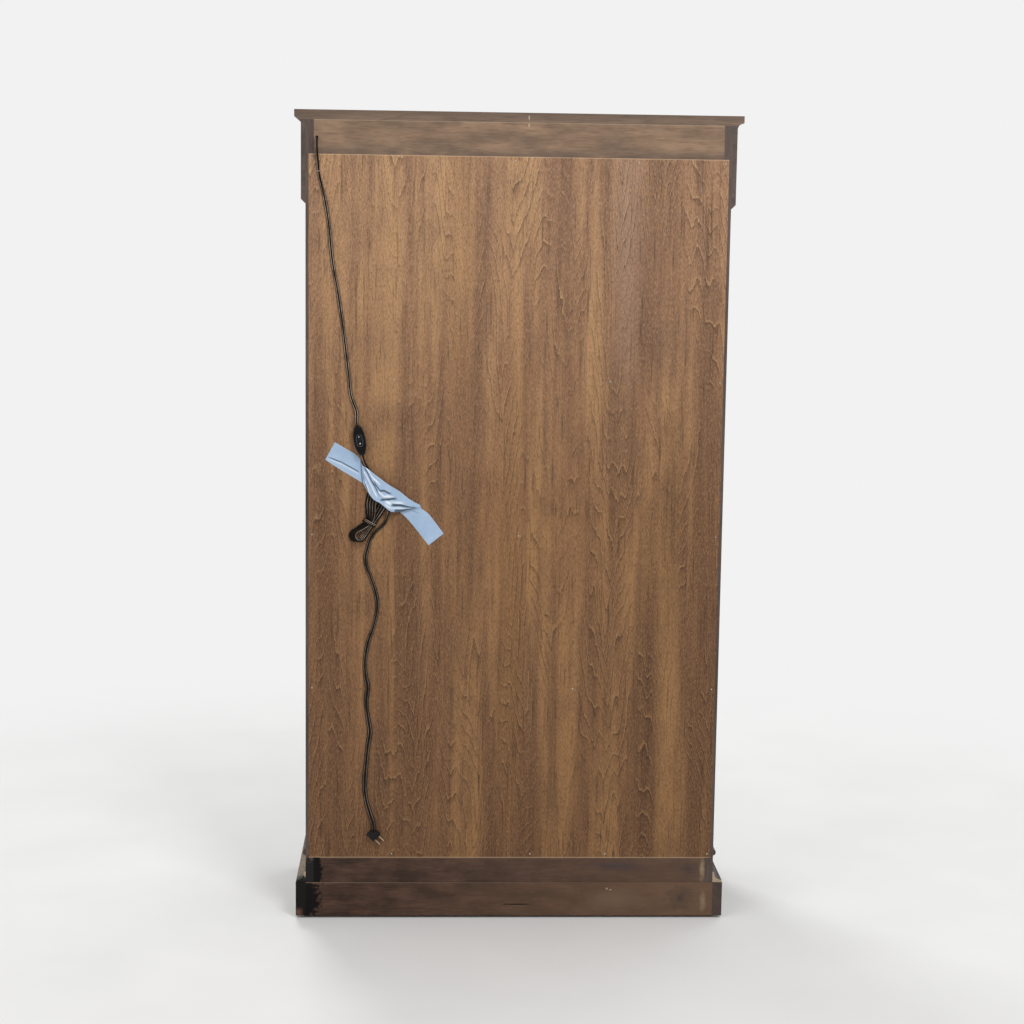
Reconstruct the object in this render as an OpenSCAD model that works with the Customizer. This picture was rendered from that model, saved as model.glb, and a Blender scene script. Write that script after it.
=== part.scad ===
// Lighted display cabinet: a wooden case with a plywood back, three glazed
// shelves, two glazed doors, a pair of recessed lamps and their cord.
// The front faces -Y, the back faces +Y, and Z = 0 is the floor.

/* [Case] */
// Height of the whole cabinet, glides included
total_h = 1900; // [1800:1:2100]
// Width across the two side boards
case_w = 975; // [900:1:1200]
// Depth from the face frame's front to the back edges of the sides
case_d = 380; // [330:1:460]
// Thickness of the side boards
side_t = 19; // [17:0.5:25]
// Thickness of the plywood back panel
panel_t = 5; // [4:0.5:9]
// Width of side board left outside the back panel
panel_lip = 7; // [4:0.5:9]
// Thickness of the ceiling board and of the bottom board
board_t = 19; // [16:0.5:25]
// Depth of the grooves in the sides that hold the boards and shelves
dado_d = 6; // [3:0.5:9]
// Height of the back rail above the panel
top_rail_h = 77; // [60:1:110]
// Height of the back rail below the panel
bottom_rail_h = 61; // [50:1:90]
// Thickness of the two back rails
back_rail_t = 19; // [16:0.5:25]

/* [Crown and frieze] */
// How far the cap stands out past the case
crown_out = 25.5; // [22:0.5:34]
// Thickness of the cap board
cap_t = 22; // [20:0.5:30]
// Height of the cap's straight edge above its cove
cap_edge_h = 16; // [12:0.5:19]
// Height of the moulding under the cap
crown_mould_h = 18; // [15:0.5:24]
// Thickness of the frieze boards
frieze_t = 10.5; // [8:0.5:12]
// Height of the frieze boards
frieze_h = 170; // [120:1:200]
// Bevel along the lower edge of the frieze
frieze_bevel = 9; // [3:0.5:10]

/* [Face frame] */
// Thickness of the face frame
face_t = 19; // [16:0.5:25]
// Width of the face frame's stiles
face_stile_w = 38; // [30:1:60]
// Height of the face frame's bottom rail
face_sill_h = 84; // [82:1:110]

/* [Shelves] */
// Height of the lower shelf's centre above the floor
shelf_lower_z = 562; // [450:1:640]
// Height of the middle shelf's centre above the floor
shelf_middle_z = 927; // [820:1:1000]
// Height of the upper shelf's centre above the floor
shelf_upper_z = 1290; // [1190:1:1400]
// Thickness of the shelf frames
shelf_t = 22; // [19:0.5:28]
// Width of the rails round each shelf's glass
shelf_rail_w = 45; // [35:1:60]
// How far the shelves stay behind the face frame
shelf_setback = 25; // [15:1:60]
// Thickness of the shelf glass
shelf_glass_t = 5; // [4:0.5:8]
// Width of the ledge that carries the shelf glass
shelf_ledge = 8; // [5:0.5:12]
// Distance of the plate groove from the shelf's back edge
plate_groove_in = 18; // [12:1:25]

/* [Doors] */
// Thickness of the door frames
door_t = 19; // [18:0.5:24]
// Gap round each door and between the two
door_gap = 3; // [2.8:0.1:4]
// Width of the door stiles
door_stile_w = 52; // [40:1:70]
// Height of the door's top rail
door_top_rail_h = 60; // [45:1:80]
// Height of the door's bottom rail
door_bottom_rail_h = 75; // [55:1:100]
// Thickness of wood left in front of the door glass
door_lip_t = 7; // [6:0.5:9]
// Width of the ledge round the door glass
door_ledge = 9; // [7:0.5:12]
// Thickness of the door glass
door_glass_t = 4; // [3:0.5:6]
// Bevel round the sight edge of the door frames
sight_bevel = 4; // [1:0.5:5]
// Length of the rails' tenons
tenon_l = 32; // [20:1:36]
// Thickness of the rails' tenons
tenon_t = 5; // [4:0.5:6]

/* [Hinges] */
// Outer radius of the hinge barrels
barrel_r = 3.6; // [3.2:0.1:5]
// Radius of the hinge pins
hinge_pin_r = 1.8; // [1.2:0.1:2.4]
// Running clearance round the hinge pins
pin_clear = 0.05; // [0.02:0.01:0.1]
// Height of each hinge
hinge_h = 64; // [50:1:90]
// Thickness of the hinge leaves
leaf_t = 1.2; // [1:0.05:1.3]
// Distance of the end hinges' centres from the door's ends
hinge_in = 130; // [90:1:200]

/* [Knobs and catches] */
// Radius of the knob's head
knob_r = 13; // [10:0.5:18]
// How far the knob stands out from the door
knob_out = 24; // [20:0.5:25]
// Height of the knobs above the floor
knob_z = 930; // [800:1:1100]
// Width of each magnetic catch
catch_w = 44; // [34:1:60]
// Distance of each catch from the cabinet's centre line
catch_in = 16; // [8:1:60]

/* [Base] */
// Height of the plinth boards
plinth_h = 82; // [60:1:120]
// Thickness of the plinth's front and side boards
plinth_out = 23.5; // [20:0.5:25]
// How far the plinth's back board stands behind the case
plinth_proud = 2; // [1:0.5:4]
// Height of the moulding on top of the plinth
base_mould_h = 26; // [22:1:34]
// Height of the bead round the case above the base moulding
bead_above = 40; // [25:1:41]
// Height of the bead
bead_h = 16; // [12:1:16]
// How far the bead stands out
bead_out = 6.5; // [3:0.5:7.5]
// Side of the glue blocks in the plinth's corners
corner_block_w = 50; // [35:1:70]
// Radius of the nylon glides
glide_r = 11; // [8:0.5:11.5]
// Height of the nylon glides
glide_h = 6; // [4:0.5:12]

/* [Lamps] */
// Distance of each lamp from the cabinet's centre line
lamp_x = 240; // [150:1:320]
// Radius of the lamp cans
can_r = 36; // [30:1:50]
// Height of the lamp cans
can_h = 52; // [50:1:70]
// Wall thickness of the lamp cans
can_wall = 1.2; // [0.8:0.1:2]
// Width of the trim flange round each can
flange_w = 7; // [4:0.5:14]
// Thickness of the frosted lenses
lens_t = 3; // [2:0.5:4]

/* [Cord] */
// Width of the flat two-wire cord
cord_w = 5; // [4.4:0.1:5.4]
// Thickness of the cord
cord_t = 2.8; // [2.2:0.1:2.9]
// Radius of the hole where the cord leaves the back rail
cord_hole_r = 3.6; // [3.4:0.1:4.5]
// Turns in the hank
hank_turns = 4; // [4]
// Length of the switch on the cord
switch_l = 68; // [62:1:74]
// Width of the switch
switch_w = 28; // [24:1:32]
// Thickness of the switch
switch_t = 19; // [17:0.5:22]
// Swing of the rocker from one state to the other, degrees
rocker_swing = 14; // [8:1:18]
// Thickness of the plug
plug_t = 14; // [12:0.5:18]
// Length of the plug's blades outside its body
blade_l = 17; // [15:0.5:18]
// Distance between the centres of the plug's blades
blade_pitch = 12.7; // [12:0.1:13]

/* [Hidden] */
$fn = 48;

// Planes of the case, with the origin under the middle of the whole depth
half_w = case_w / 2;
inner_w = half_w - side_t;
y_back = (crown_out + case_d + plinth_proud) / 2 - plinth_proud;
y_front = y_back - case_d;
y_inside = y_front + face_t;
y_panel = y_back - panel_t;
plinth_z = glide_h + plinth_h;
cap_z = total_h - cap_t;
panel_z0 = plinth_z + bottom_rail_h;
panel_z1 = cap_z - top_rail_h;
ceiling_z = panel_z1 - board_t;
floor_z = panel_z0 + board_t;
sill_z = plinth_z + face_sill_h;
frieze_z = cap_z - crown_mould_h - frieze_h;
cove_r = crown_out - frieze_t;
cove_z = total_h - cap_edge_h - cove_r;
shelf_zs = [shelf_lower_z, shelf_middle_z, shelf_upper_z];
// Gap that keeps mitred pieces apart, and the cut-through overshoot of cutters
mitre_gap = 0.2;
cut = 1;
// Clearance round glass, studs and other fitted pieces
fit = 0.3;

// Doors, written for the right-hand one; the left one is its mirror image
open_half = half_w - face_stile_w;
door_x0 = door_gap / 2;
door_x1 = open_half - door_gap;
door_z0 = sill_z + door_gap;
door_z1 = frieze_z - door_gap;
door_back = y_front + door_t;
sight_x0 = door_x0 + door_stile_w;
sight_x1 = door_x1 - door_stile_w;
sight_z0 = door_z0 + door_bottom_rail_h;
sight_z1 = door_z1 - door_top_rail_h;
hinge_x = open_half - door_gap / 2;
barrel_gap = 0.5;
hinge_y = y_front - barrel_r - barrel_gap;
hinge_zs = [door_z0 + hinge_in, (door_z0 + door_z1) / 2, door_z1 - hinge_in];
knuckles = 5;
knuckle_gap = 0.3;
leaf_y1 = door_back - 1;
stud_r = 2;
stud_l = 14;
knob_x = door_x0 + door_stile_w / 2;
strike_t = 1.2;
strike_h = 14;
catch_h = 40;
catch_t = 14;

// Cord, switch, hank and plug: places on the back, X and Z from the origin,
// Y out from the case's back plane
cord_clear = 0.3;
cord_y = cord_clear + cord_t / 2 + 0.7;
// The cord's hole: its distance from the side board and above the panel
exit_in = 6.5;
exit_up = 37;
exit_at = [inner_w - exit_in, panel_z1 + exit_up];
switch_at = [362, 1149];
switch_tilt = 10;
switch_y = cord_clear + switch_t / 2;
plug_at = [325, 207];
plug_turn = 45;
plug_y = cord_clear + plug_t / 2;
// The wire staple, from the cord's hole
staple_in = 4.5;
staple_down = 76;
cable_staple_at = exit_at - [staple_in, staple_down];

function unit(v) = v / norm(v);
function mix(a, b, t) = a + (b - a) * t;
function smooth(t) = t * t * (3 - 2 * t);
// Direction, in X and Z, at an angle from +Z towards +X
function lean(a) = [sin(a), 0, cos(a)];

// Catmull-Rom curve through a route, with a ring about every ring_step
ring_step = 18;
function curve_at(p, i, t) =
    let (a = p[max(0, i - 1)], b = p[i], c = p[i + 1], d = p[min(len(p) - 1, i + 2)])
    b + (c - a) * (t / 2) + (a * 2 - b * 5 + c * 4 - d) * (t * t / 2)
    + (b * 3 - a - c * 3 + d) * (t * t * t / 2);
function curve(p) = concat(
    [for (i = [0:len(p) - 2]) let (n = max(1, round(norm(p[i + 1] - p[i]) / ring_step)))
        for (j = [0:n - 1]) curve_at(p, i, j / n)],
    [p[len(p) - 1]]);

switch_axis = lean(switch_tilt);
switch_mid = [switch_at[0], switch_y, switch_at[1]];
upper_end = switch_mid + switch_axis * switch_l / 2;
hank_start = switch_mid - switch_axis * switch_l / 2;

// Route of the cord: out of the back rail in a loop, written from the hole, and
// then down the panel to the switch
lead_end = 14;
exit_loop = [
    [0, -lead_end, 0], [0, -1, 0], [0, 9, -4], [0, 12, -14], [-1, 8, -38],
    [-3, cord_y, -63], [-6, cord_y, -88]];
upper_route = concat([for (q = exit_loop) [exit_at[0], 0, exit_at[1]] + q], [
    [442, cord_y, 1692], [433, cord_y, 1630], [426, cord_y, 1560], [413, cord_y, 1486],
    [400, cord_y, 1397], [388, cord_y, 1297], [383, cord_y, 1252], [370, 6, 1215],
    upper_end + switch_axis * 12, upper_end]);

// The hank: its waist, the lean of its two lobes, and for each lobe the straight
// run, the radius of the end turns and how far one loop lies beside the next
waist_at = [338, 957];
upper_lean = -14;
lower_lean = -45;
lean_change = 20;
upper_run = 72;
lower_run = 47;
upper_r = 15.5;
lower_r = 12.6;
upper_step = 5.3;
lower_step = 2.4;
waist_step = 3.3;
waist_half = 4.5;
spread_run = 40;
// How much shorter each loop is than the one under it, and the climb between them
loop_shorter = 3;
layer_pitch = 3.45;
climb_run = 30;
tie_t = 2.2;
tie_h = 10.5;
tie_clear = 3;
run_rings = 5;
turn_rings = 7;
waist_y = 2 * cord_clear + cord_t + 0.4 + cord_t / 2;
upper_y = cord_clear + cord_t / 2;

// Lean of the hank's centre line at s, and the point there
function hank_lean(s) = mix(lower_lean, upper_lean, smooth(share(s + lean_change / 2, lean_change)));
function share(v, whole) = min(1, max(0, v / whole));
function hank_sum(v, i = 0) = i == len(v) ? [0, 0, 0] : v[i] + hank_sum(v, i + 1);
function hank_axis(s, step = 5) =
    let (n = max(1, ceil(abs(s) / step)), d = s / n)
    [waist_at[0], 0, waist_at[1]] + hank_sum([for (i = [0:n - 1]) lean(hank_lean((i + 0.5) * d)) * d]);
// Point at s along the centre line, w to its side and so many layers out from the panel
function hank_point(s, w, layer) =
    let (a = hank_lean(s), y = mix(waist_y, upper_y, smooth(share(s, spread_run))))
    hank_axis(s) + [cos(a) * w, y + layer * layer_pitch, -sin(a) * w];
// Loop number t, which runs on evenly from loop to loop: its ends, its shift to the
// side and half its opening at s
function end_s(lobe, t) = (lobe > 0 ? upper_run : lower_run) - loop_shorter * t;
function shift(s, t) = ((hank_turns - 1) / 2 - t)
    * mix(waist_step, s > 0 ? upper_step : lower_step, smooth(share(abs(s), spread_run)));
function half_open(s, t) = mix(waist_half, s > 0 ? upper_r : lower_r, smooth(share(abs(s), end_s(s, t))));
function layer_at(s, side, t) = floor(t) + (side < 0 ? 0 : smooth(share(s + climb_run, 2 * climb_run)));
function run_point(from, side, t, u) =
    let (s = mix(from * end_s(from, t), -from * end_s(-from, t), u))
    hank_point(s, shift(s, t) + side * half_open(s, t), layer_at(s, side, t));
function turn_point(lobe, t, u) =
    let (r = lobe > 0 ? upper_r : lower_r, s = lobe * end_s(lobe, t), layer = floor(t) + (lobe > 0 ? 1 : 0))
    hank_point(s + lobe * r * sin(180 * u), shift(s, t) + lobe * r * cos(180 * u), layer);
// One loop: down the -X side, round the lower end, up the other side and round the upper end
function hank_loop(t) = concat(
    [for (i = [0:run_rings - 1]) let (u = i / run_rings) run_point(1, -1, t + u / 4, u)],
    [for (i = [0:turn_rings - 1]) let (u = i / turn_rings) turn_point(-1, t + (1 + u) / 4, u)],
    [for (i = [0:run_rings - 1]) let (u = i / run_rings) run_point(-1, 1, t + (2 + u) / 4, u)],
    [for (i = [0:turn_rings - 1]) let (u = i / turn_rings) turn_point(1, t + (3 + u) / 4, u)]);

// From the switch the cord bends easily into the first loop: the pull of the bend's
// two ends, and how far it leans down to the panel
run_in_pulls = [46, 34];
run_in_drop = 5;
run_in_rings = 9;
run_in_end = run_point(1, -1, 0, 0);
function bezier(a, b, c, d, t) =
    a * pow(1 - t, 3) + b * 3 * t * pow(1 - t, 2) + c * 3 * t * t * (1 - t) + d * pow(t, 3);
run_in_from = hank_start - switch_axis * run_in_pulls[0] - [0, run_in_drop, 0];
run_in_to = run_in_end + lean(upper_lean) * run_in_pulls[1];
run_in = concat([hank_start], [for (i = [0:run_in_rings - 1])
    bezier(hank_start - switch_axis * cord_w, run_in_from, run_in_to, run_in_end, i / run_in_rings)]);
// The last stretch swells out beside the waist and slips under the lower lobe
last_start = hank_point(end_s(1, hank_turns), shift(upper_run, hank_turns) - upper_r, hank_turns);
last_route = [
    last_start, [294, 14, 986], [297, 9.5, 971], [302, 5, 958], [310, 2.4, 948], [319, 1.7, 940],
    [328, 1.7, 931], [334, 1.7, 921]];
hank_route = concat(run_in, [for (t = [0:hank_turns - 1]) each hank_loop(t)], curve(last_route));
hank_end = hank_route[len(hank_route) - 1];
hank_end_dir = unit(hank_end - hank_route[len(hank_route) - 2]);

// Where the cord meets the plug, and its route down to it
plug_half = 12;
plug_top = 14;
plug_bottom = -10;
plug_cut = 11;
plug_x_dir = [cos(plug_turn), 0, -sin(plug_turn)];
plug_z_dir = lean(plug_turn);
plug_mid = [plug_at[0], plug_y, plug_at[1]];
plug_entry = plug_mid + plug_x_dir * (plug_cut / 2 - plug_half) + plug_z_dir * (plug_top - plug_cut / 2);
lower_route = [
    hank_end, hank_end + hank_end_dir * 7, [343, cord_y, 897], [348, cord_y, 873], [345, cord_y, 850],
    [336, cord_y, 828], [324, cord_y, 790], [320, cord_y, 757], [328, cord_y, 712], [341, cord_y, 673],
    [348, cord_y, 630], [347, cord_y, 594], [342, cord_y, 565], [345, cord_y, 526], [340, cord_y, 486],
    [336, cord_y, 457], [340, cord_y, 427], [345, cord_y, 378], [348, cord_y, 328], [344, cord_y, 289],
    [333, 5, 252], plug_entry + [0, 0, 12], plug_entry];

// Least gap between strands of the hank, measured on points between its rings: the
// distance from a point, a to the side and h off, to an oval twice the cord's size
function oval_gap(a, h) = let (f = norm([a / cord_w, h / cord_t]))
    (f - 1) * f / norm([a / pow(cord_w, 2), h / pow(cord_t, 2)]);
function strand_gap(p, q) = let (d = q - p) oval_gap(norm([d[0], d[2]]), abs(d[1]));
function between(p, parts) =
    [for (i = [0:len(p) - 2]) for (j = [0:parts - 1]) mix(p[i], p[i + 1], j / parts)];
function least_gap(p, parts = 4, skip = 4, near = 12) = let (q = between(p, parts), n = len(q))
    min([for (i = [0:n - 1 - skip * parts]) for (j = [i + skip * parts:n - 1])
        if (norm(q[j] - q[i]) < near) strand_gap(q[i], q[j])]);
function route_l(p, i = 0) = i >= len(p) - 1 ? 0 : norm(p[i + 1] - p[i]) + route_l(p, i + 1);
cord_l = route_l(curve(upper_route)) + switch_l + route_l(hank_route) + route_l(curve(lower_route));

// Leads above the ceiling: lamp to lamp, lamp to junction box, and box to the back rail
lead_z = panel_z1 + cord_t / 2 + cord_clear;
lamp_y = (y_inside + y_panel) / 2;
box_size = [44, 30, 26];
box_from_exit = 66;
box_from_rail = 60;
box_at = [exit_at[0] - box_from_exit, y_back - back_rail_t - box_from_rail];
box_mid_y = box_at[1] + box_size[1] / 2;
box_hole_z = panel_z1 + box_size[2] / 2;

// Colours of the woods, metals and plastics
case_col = [0.36, 0.26, 0.2];
panel_col = [0.55, 0.4, 0.29];
dark_col = [0.27, 0.2, 0.17];
glass_col = [0.75, 0.85, 0.85, 0.4];
brass_col = [0.72, 0.58, 0.32];
black_col = [0.12, 0.12, 0.13];
cord_col = [0.26, 0.18, 0.13];
steel_col = [0.7, 0.7, 0.72];

module handed(side) {
    if (side < 0) mirror([1, 0, 0]) children();
    else children();
}

module both_sides() {
    children();
    mirror([1, 0, 0]) children();
}

module box(low, high) {
    translate(low) cube(high - low);
}

// A profile drawn from the case face outwards and up from z, run across the front
module front_run(z, out) {
    intersection() {
        translate([0, y_front, z]) rotate([0, 0, -90]) rotate([90, 0, 0])
            linear_extrude(case_w + 4 * out, center = true) children();
        translate([0, 0, z]) linear_extrude(plinth_h + frieze_h)
            polygon([[-half_w, y_front], [half_w, y_front],
                [half_w + 2 * out, y_front - 2 * out], [-half_w - 2 * out, y_front - 2 * out]]);
    }
}

// The same profile run along the right-hand side, as far back as y_end
module side_run(z, out, y_end) {
    intersection() {
        translate([half_w, y_end, z]) rotate([90, 0, 0])
            linear_extrude(case_d + 4 * out) children();
        translate([0, 0, z]) linear_extrude(plinth_h + frieze_h)
            polygon([[half_w, y_end], [half_w, y_front + mitre_gap],
                [half_w + 2 * out, y_front - 2 * out + mitre_gap], [half_w + 2 * out, y_end]]);
    }
}

// Cylinder along X or Y that cuts the cove under the crown's edge
module cove_cutters() {
    translate([0, y_front - crown_out, cove_z]) rotate([0, 90, 0])
        cylinder(h = case_w + 4 * crown_out, r = cove_r, center = true);
    both_sides()
        translate([half_w + crown_out, y_back + cut, cove_z]) rotate([90, 0, 0])
            cylinder(h = case_d + 4 * crown_out, r = cove_r);
}

module crown_cap() {
    color(case_col) difference() {
        box([-half_w - crown_out, y_front - crown_out, cap_z], [half_w + crown_out, y_back, total_h]);
        cove_cutters();
    }
}

module crown_profile() {
    low = cap_z - crown_mould_h;
    difference() {
        square([crown_out, crown_mould_h]);
        translate([crown_out, cove_z - low]) circle(r = cove_r);
        translate([frieze_t, -cut]) square([crown_out, cove_z - low + cut]);
    }
}

module crown_moulding() {
    color(case_col) {
        front_run(cap_z - crown_mould_h, crown_out) crown_profile();
        both_sides() side_run(cap_z - crown_mould_h, crown_out, y_back) crown_profile();
    }
}

module frieze_profile() {
    polygon([[0, 0], [frieze_t - frieze_bevel, 0], [frieze_t, frieze_bevel], [frieze_t, frieze_h],
        [0, frieze_h]]);
}

module frieze_front() {
    color(case_col) front_run(frieze_z, frieze_t) frieze_profile();
}

module frieze_side(side) {
    color(case_col) handed(side) side_run(frieze_z, frieze_t, y_back) frieze_profile();
}

module side_board(side) {
    color(case_col) handed(side) difference() {
        box([inner_w, y_inside, plinth_z], [half_w, y_back, cap_z]);
        box([inner_w - cut, y_panel, panel_z0], [half_w - panel_lip, y_back + cut, panel_z1]);
        box([inner_w - cut, y_inside - cut, panel_z0], [inner_w + dado_d, y_panel + cut, floor_z]);
        box([inner_w - cut, y_inside - cut, ceiling_z], [inner_w + dado_d, y_panel + cut, panel_z1]);
        for (z = shelf_zs)
            box([inner_w - cut, y_inside + shelf_setback, z - shelf_t / 2],
                [inner_w + dado_d, y_panel + cut, z + shelf_t / 2]);
    }
}

module back_panel() {
    color(panel_col)
        box([panel_lip - half_w, y_panel, panel_z0], [half_w - panel_lip, y_back, panel_z1]);
}

module back_top_rail() {
    color(case_col) difference() {
        box([-inner_w, y_back - back_rail_t, panel_z1], [inner_w, y_back, cap_z]);
        translate([exit_at[0], y_back + cut, exit_at[1]]) rotate([90, 0, 0])
            cylinder(h = back_rail_t + 2 * cut, r = cord_hole_r);
    }
}

module back_bottom_rail() {
    color(dark_col) box([-inner_w, y_back - back_rail_t, plinth_z], [inner_w, y_back, panel_z0]);
}

module inner_board(z) {
    box([-inner_w - dado_d, y_inside, z], [inner_w + dado_d, y_panel, z + board_t]);
}

module ceiling_board() {
    color(panel_col) difference() {
        inner_board(ceiling_z);
        both_sides() translate([lamp_x, lamp_y, ceiling_z - cut])
            cylinder(h = board_t + 2 * cut, r = can_r + fit);
    }
}

module bottom_board() {
    color(panel_col) inner_board(panel_z0);
}

shelf_y0 = y_inside + shelf_setback;
window_x = inner_w - shelf_rail_w;
window_y0 = shelf_y0 + shelf_rail_w;
window_y1 = y_panel - shelf_rail_w;

module shelf_frame(z) {
    top = z + shelf_t / 2;
    groove_w = 6;
    groove_d = 3;
    color(case_col) difference() {
        box([-inner_w - dado_d, shelf_y0, z - shelf_t / 2], [inner_w + dado_d, y_panel, top]);
        box([-window_x, window_y0, z - shelf_t], [window_x, window_y1, z + shelf_t]);
        box([-window_x - shelf_ledge, window_y0 - shelf_ledge, top - shelf_glass_t],
            [window_x + shelf_ledge, window_y1 + shelf_ledge, top + cut]);
        box([-window_x, y_panel - plate_groove_in - groove_w, top - groove_d],
            [window_x, y_panel - plate_groove_in, top + cut]);
    }
}

module shelf_glass() {
    color(glass_col) for (z = shelf_zs)
        box([-window_x - shelf_ledge + fit, window_y0 - shelf_ledge + fit, z + shelf_t / 2 - shelf_glass_t],
            [window_x + shelf_ledge - fit, window_y1 + shelf_ledge - fit, z + shelf_t / 2]);
}

module face_stile(side) {
    color(case_col) handed(side) box([open_half, y_front, plinth_z], [half_w, y_inside, cap_z]);
}

module face_top_rail() {
    color(case_col) box([-open_half, y_front, frieze_z], [open_half, y_inside, cap_z]);
}

module face_bottom_rail() {
    color(case_col) box([-open_half, y_front, plinth_z], [open_half, y_inside, sill_z]);
}

module plinth_front() {
    color(dark_col) front_run(glide_h, plinth_out) square([plinth_out, plinth_h]);
}

module plinth_side(side) {
    color(dark_col) handed(side)
        side_run(glide_h, plinth_out, y_back + plinth_proud) square([plinth_out, plinth_h]);
}

plinth_back_t = 19;
module plinth_back() {
    color(dark_col) box([-half_w, y_back + plinth_proud - plinth_back_t, glide_h],
        [half_w, y_back + plinth_proud, plinth_z]);
}

// Base moulding: a low step, a cove and a fillet against the case
base_step = 6;
base_top = 4;
base_edge = 1.5;
module base_profile() {
    r = plinth_out - base_edge - base_top - 2;
    difference() {
        square([plinth_out - base_edge, base_mould_h]);
        translate([base_top + r, base_step + r]) circle(r = r);
        translate([base_top, base_step + r]) square([plinth_out, base_mould_h]);
        translate([base_top + r, base_step]) square([plinth_out, base_mould_h]);
    }
}

module base_moulding() {
    color(dark_col) {
        front_run(plinth_z, plinth_out) base_profile();
        both_sides() side_run(plinth_z, plinth_out, y_back) base_profile();
    }
}

module bead_profile() {
    intersection() {
        translate([bead_out - bead_h / 2, bead_h / 2]) circle(d = bead_h);
        square([bead_out + cut, bead_h]);
    }
}

module base_bead() {
    z = plinth_z + base_mould_h + bead_above;
    color(dark_col) {
        front_run(z, bead_out) bead_profile();
        both_sides() side_run(z, bead_out, y_back) bead_profile();
    }
}

module corner_blocks() {
    back_y = y_back + plinth_proud - plinth_back_t;
    color(panel_col) both_sides() {
        box([half_w - corner_block_w, y_front, glide_h], [half_w, y_front + corner_block_w, plinth_z]);
        box([half_w - corner_block_w, back_y - corner_block_w, glide_h], [half_w, back_y, plinth_z]);
    }
}

module glides() {
    x = half_w + plinth_out / 2;
    color("white") both_sides() {
        translate([x, y_front, 0]) cylinder(h = glide_h, r = glide_r);
        translate([x, y_back - 2 * glide_r, 0]) cylinder(h = glide_h, r = glide_r);
    }
}

// Nails through the panel, row by row, as shares of the panel's width
nail_head_r = 1.7;
nail_head_t = 0.4;
nail_r = 0.8;
nail_l = 16;
nail_in = 8;
nail_rows = [
    [ceiling_z + board_t / 2, [0, 0.49, 0.79, 1]],
    [shelf_upper_z, [0, 0.2, 0.43, 0.73, 1]],
    [shelf_middle_z, [0, 0.51, 1]],
    [shelf_lower_z, [0, 0.65, 1]],
    [panel_z0 + board_t / 2, [0.2, 0.55, 0.74, 1]]];

module panel_nails() {
    reach = half_w - panel_lip - nail_in;
    color(steel_col) for (row = nail_rows) for (share = row[1])
        translate([reach * (1 - 2 * share), y_back + nail_head_t, row[0]]) rotate([90, 0, 0]) {
            cylinder(h = nail_head_t, r = nail_head_r);
            cylinder(h = nail_l, r = nail_r);
        }
}

// Lamp can: a drawn steel cup with an outside flange and an inside lip for the lens
flange_t = 2;
lens_lip = 3;
lip_t = 1;
socket_r = 9;
socket_h = 12;
can_z = ceiling_z - flange_t;
module lamp_cans() {
    color(steel_col) both_sides() translate([lamp_x, lamp_y, can_z]) difference() {
        union() {
            cylinder(h = can_h, r = can_r);
            cylinder(h = flange_t, r = can_r + flange_w);
        }
        translate([0, 0, lip_t]) cylinder(h = can_h - lip_t - can_wall, r = can_r - can_wall);
        translate([0, 0, -cut]) cylinder(h = can_h, r = can_r - can_wall - lens_lip);
    }
}

module lamp_bulbs() {
    bulb_r = 8;
    bulb_l = 12;
    color("ivory") both_sides() translate([lamp_x, lamp_y, can_z + can_h - can_wall]) {
        translate([0, 0, -socket_h]) cylinder(h = socket_h, r = socket_r);
        translate([0, 0, -socket_h - bulb_l]) cylinder(h = bulb_l, r = bulb_r);
        translate([0, 0, -socket_h - bulb_l]) sphere(r = bulb_r);
    }
}

module lamp_lenses() {
    color([0.95, 0.95, 0.9, 0.8]) both_sides() translate([lamp_x, lamp_y, can_z + lip_t])
        cylinder(h = lens_t, r = can_r - can_wall - fit);
}

module junction_box() {
    low = [box_at[0], box_at[1], panel_z1];
    edge = 2;
    color("white") union() {
        translate(low) cube(box_size);
        translate(low + [edge, edge, 0]) cube(box_size + [-2 * edge, -2 * edge, edge]);
    }
}

module lamp_lead() {
    box_x1 = box_at[0] + box_size[0];
    hole_y = y_back - back_rail_t;
    straight = 8;
    slack = 14;
    dip = 3;
    color(cord_col) {
        tube(curve([
            [can_r - lamp_x, lamp_y, lead_z], [can_r - lamp_x + straight, lamp_y, lead_z],
            [-lamp_x / 3, lamp_y + slack, lead_z], [lamp_x / 3, lamp_y + slack, lead_z],
            [lamp_x - can_r - straight, lamp_y, lead_z], [lamp_x - can_r, lamp_y, lead_z]]), 8, true);
        tube(curve([
            [lamp_x + can_r, lamp_y, lead_z], [lamp_x + can_r + straight, lamp_y, lead_z],
            [box_at[0] - 2 * straight, box_mid_y, lead_z], [box_at[0] - straight, box_mid_y, lead_z],
            [box_at[0], box_mid_y, lead_z]]), 8, true);
        tube(curve([
            [box_x1, box_mid_y, box_hole_z], [box_x1 + straight, box_mid_y, box_hole_z],
            [exit_at[0], hole_y - 2 * straight, exit_at[1] - dip], [exit_at[0], hole_y - straight, exit_at[1]],
            [exit_at[0], y_back - lead_end, exit_at[1]]]), 8, false);
    }
}

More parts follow.
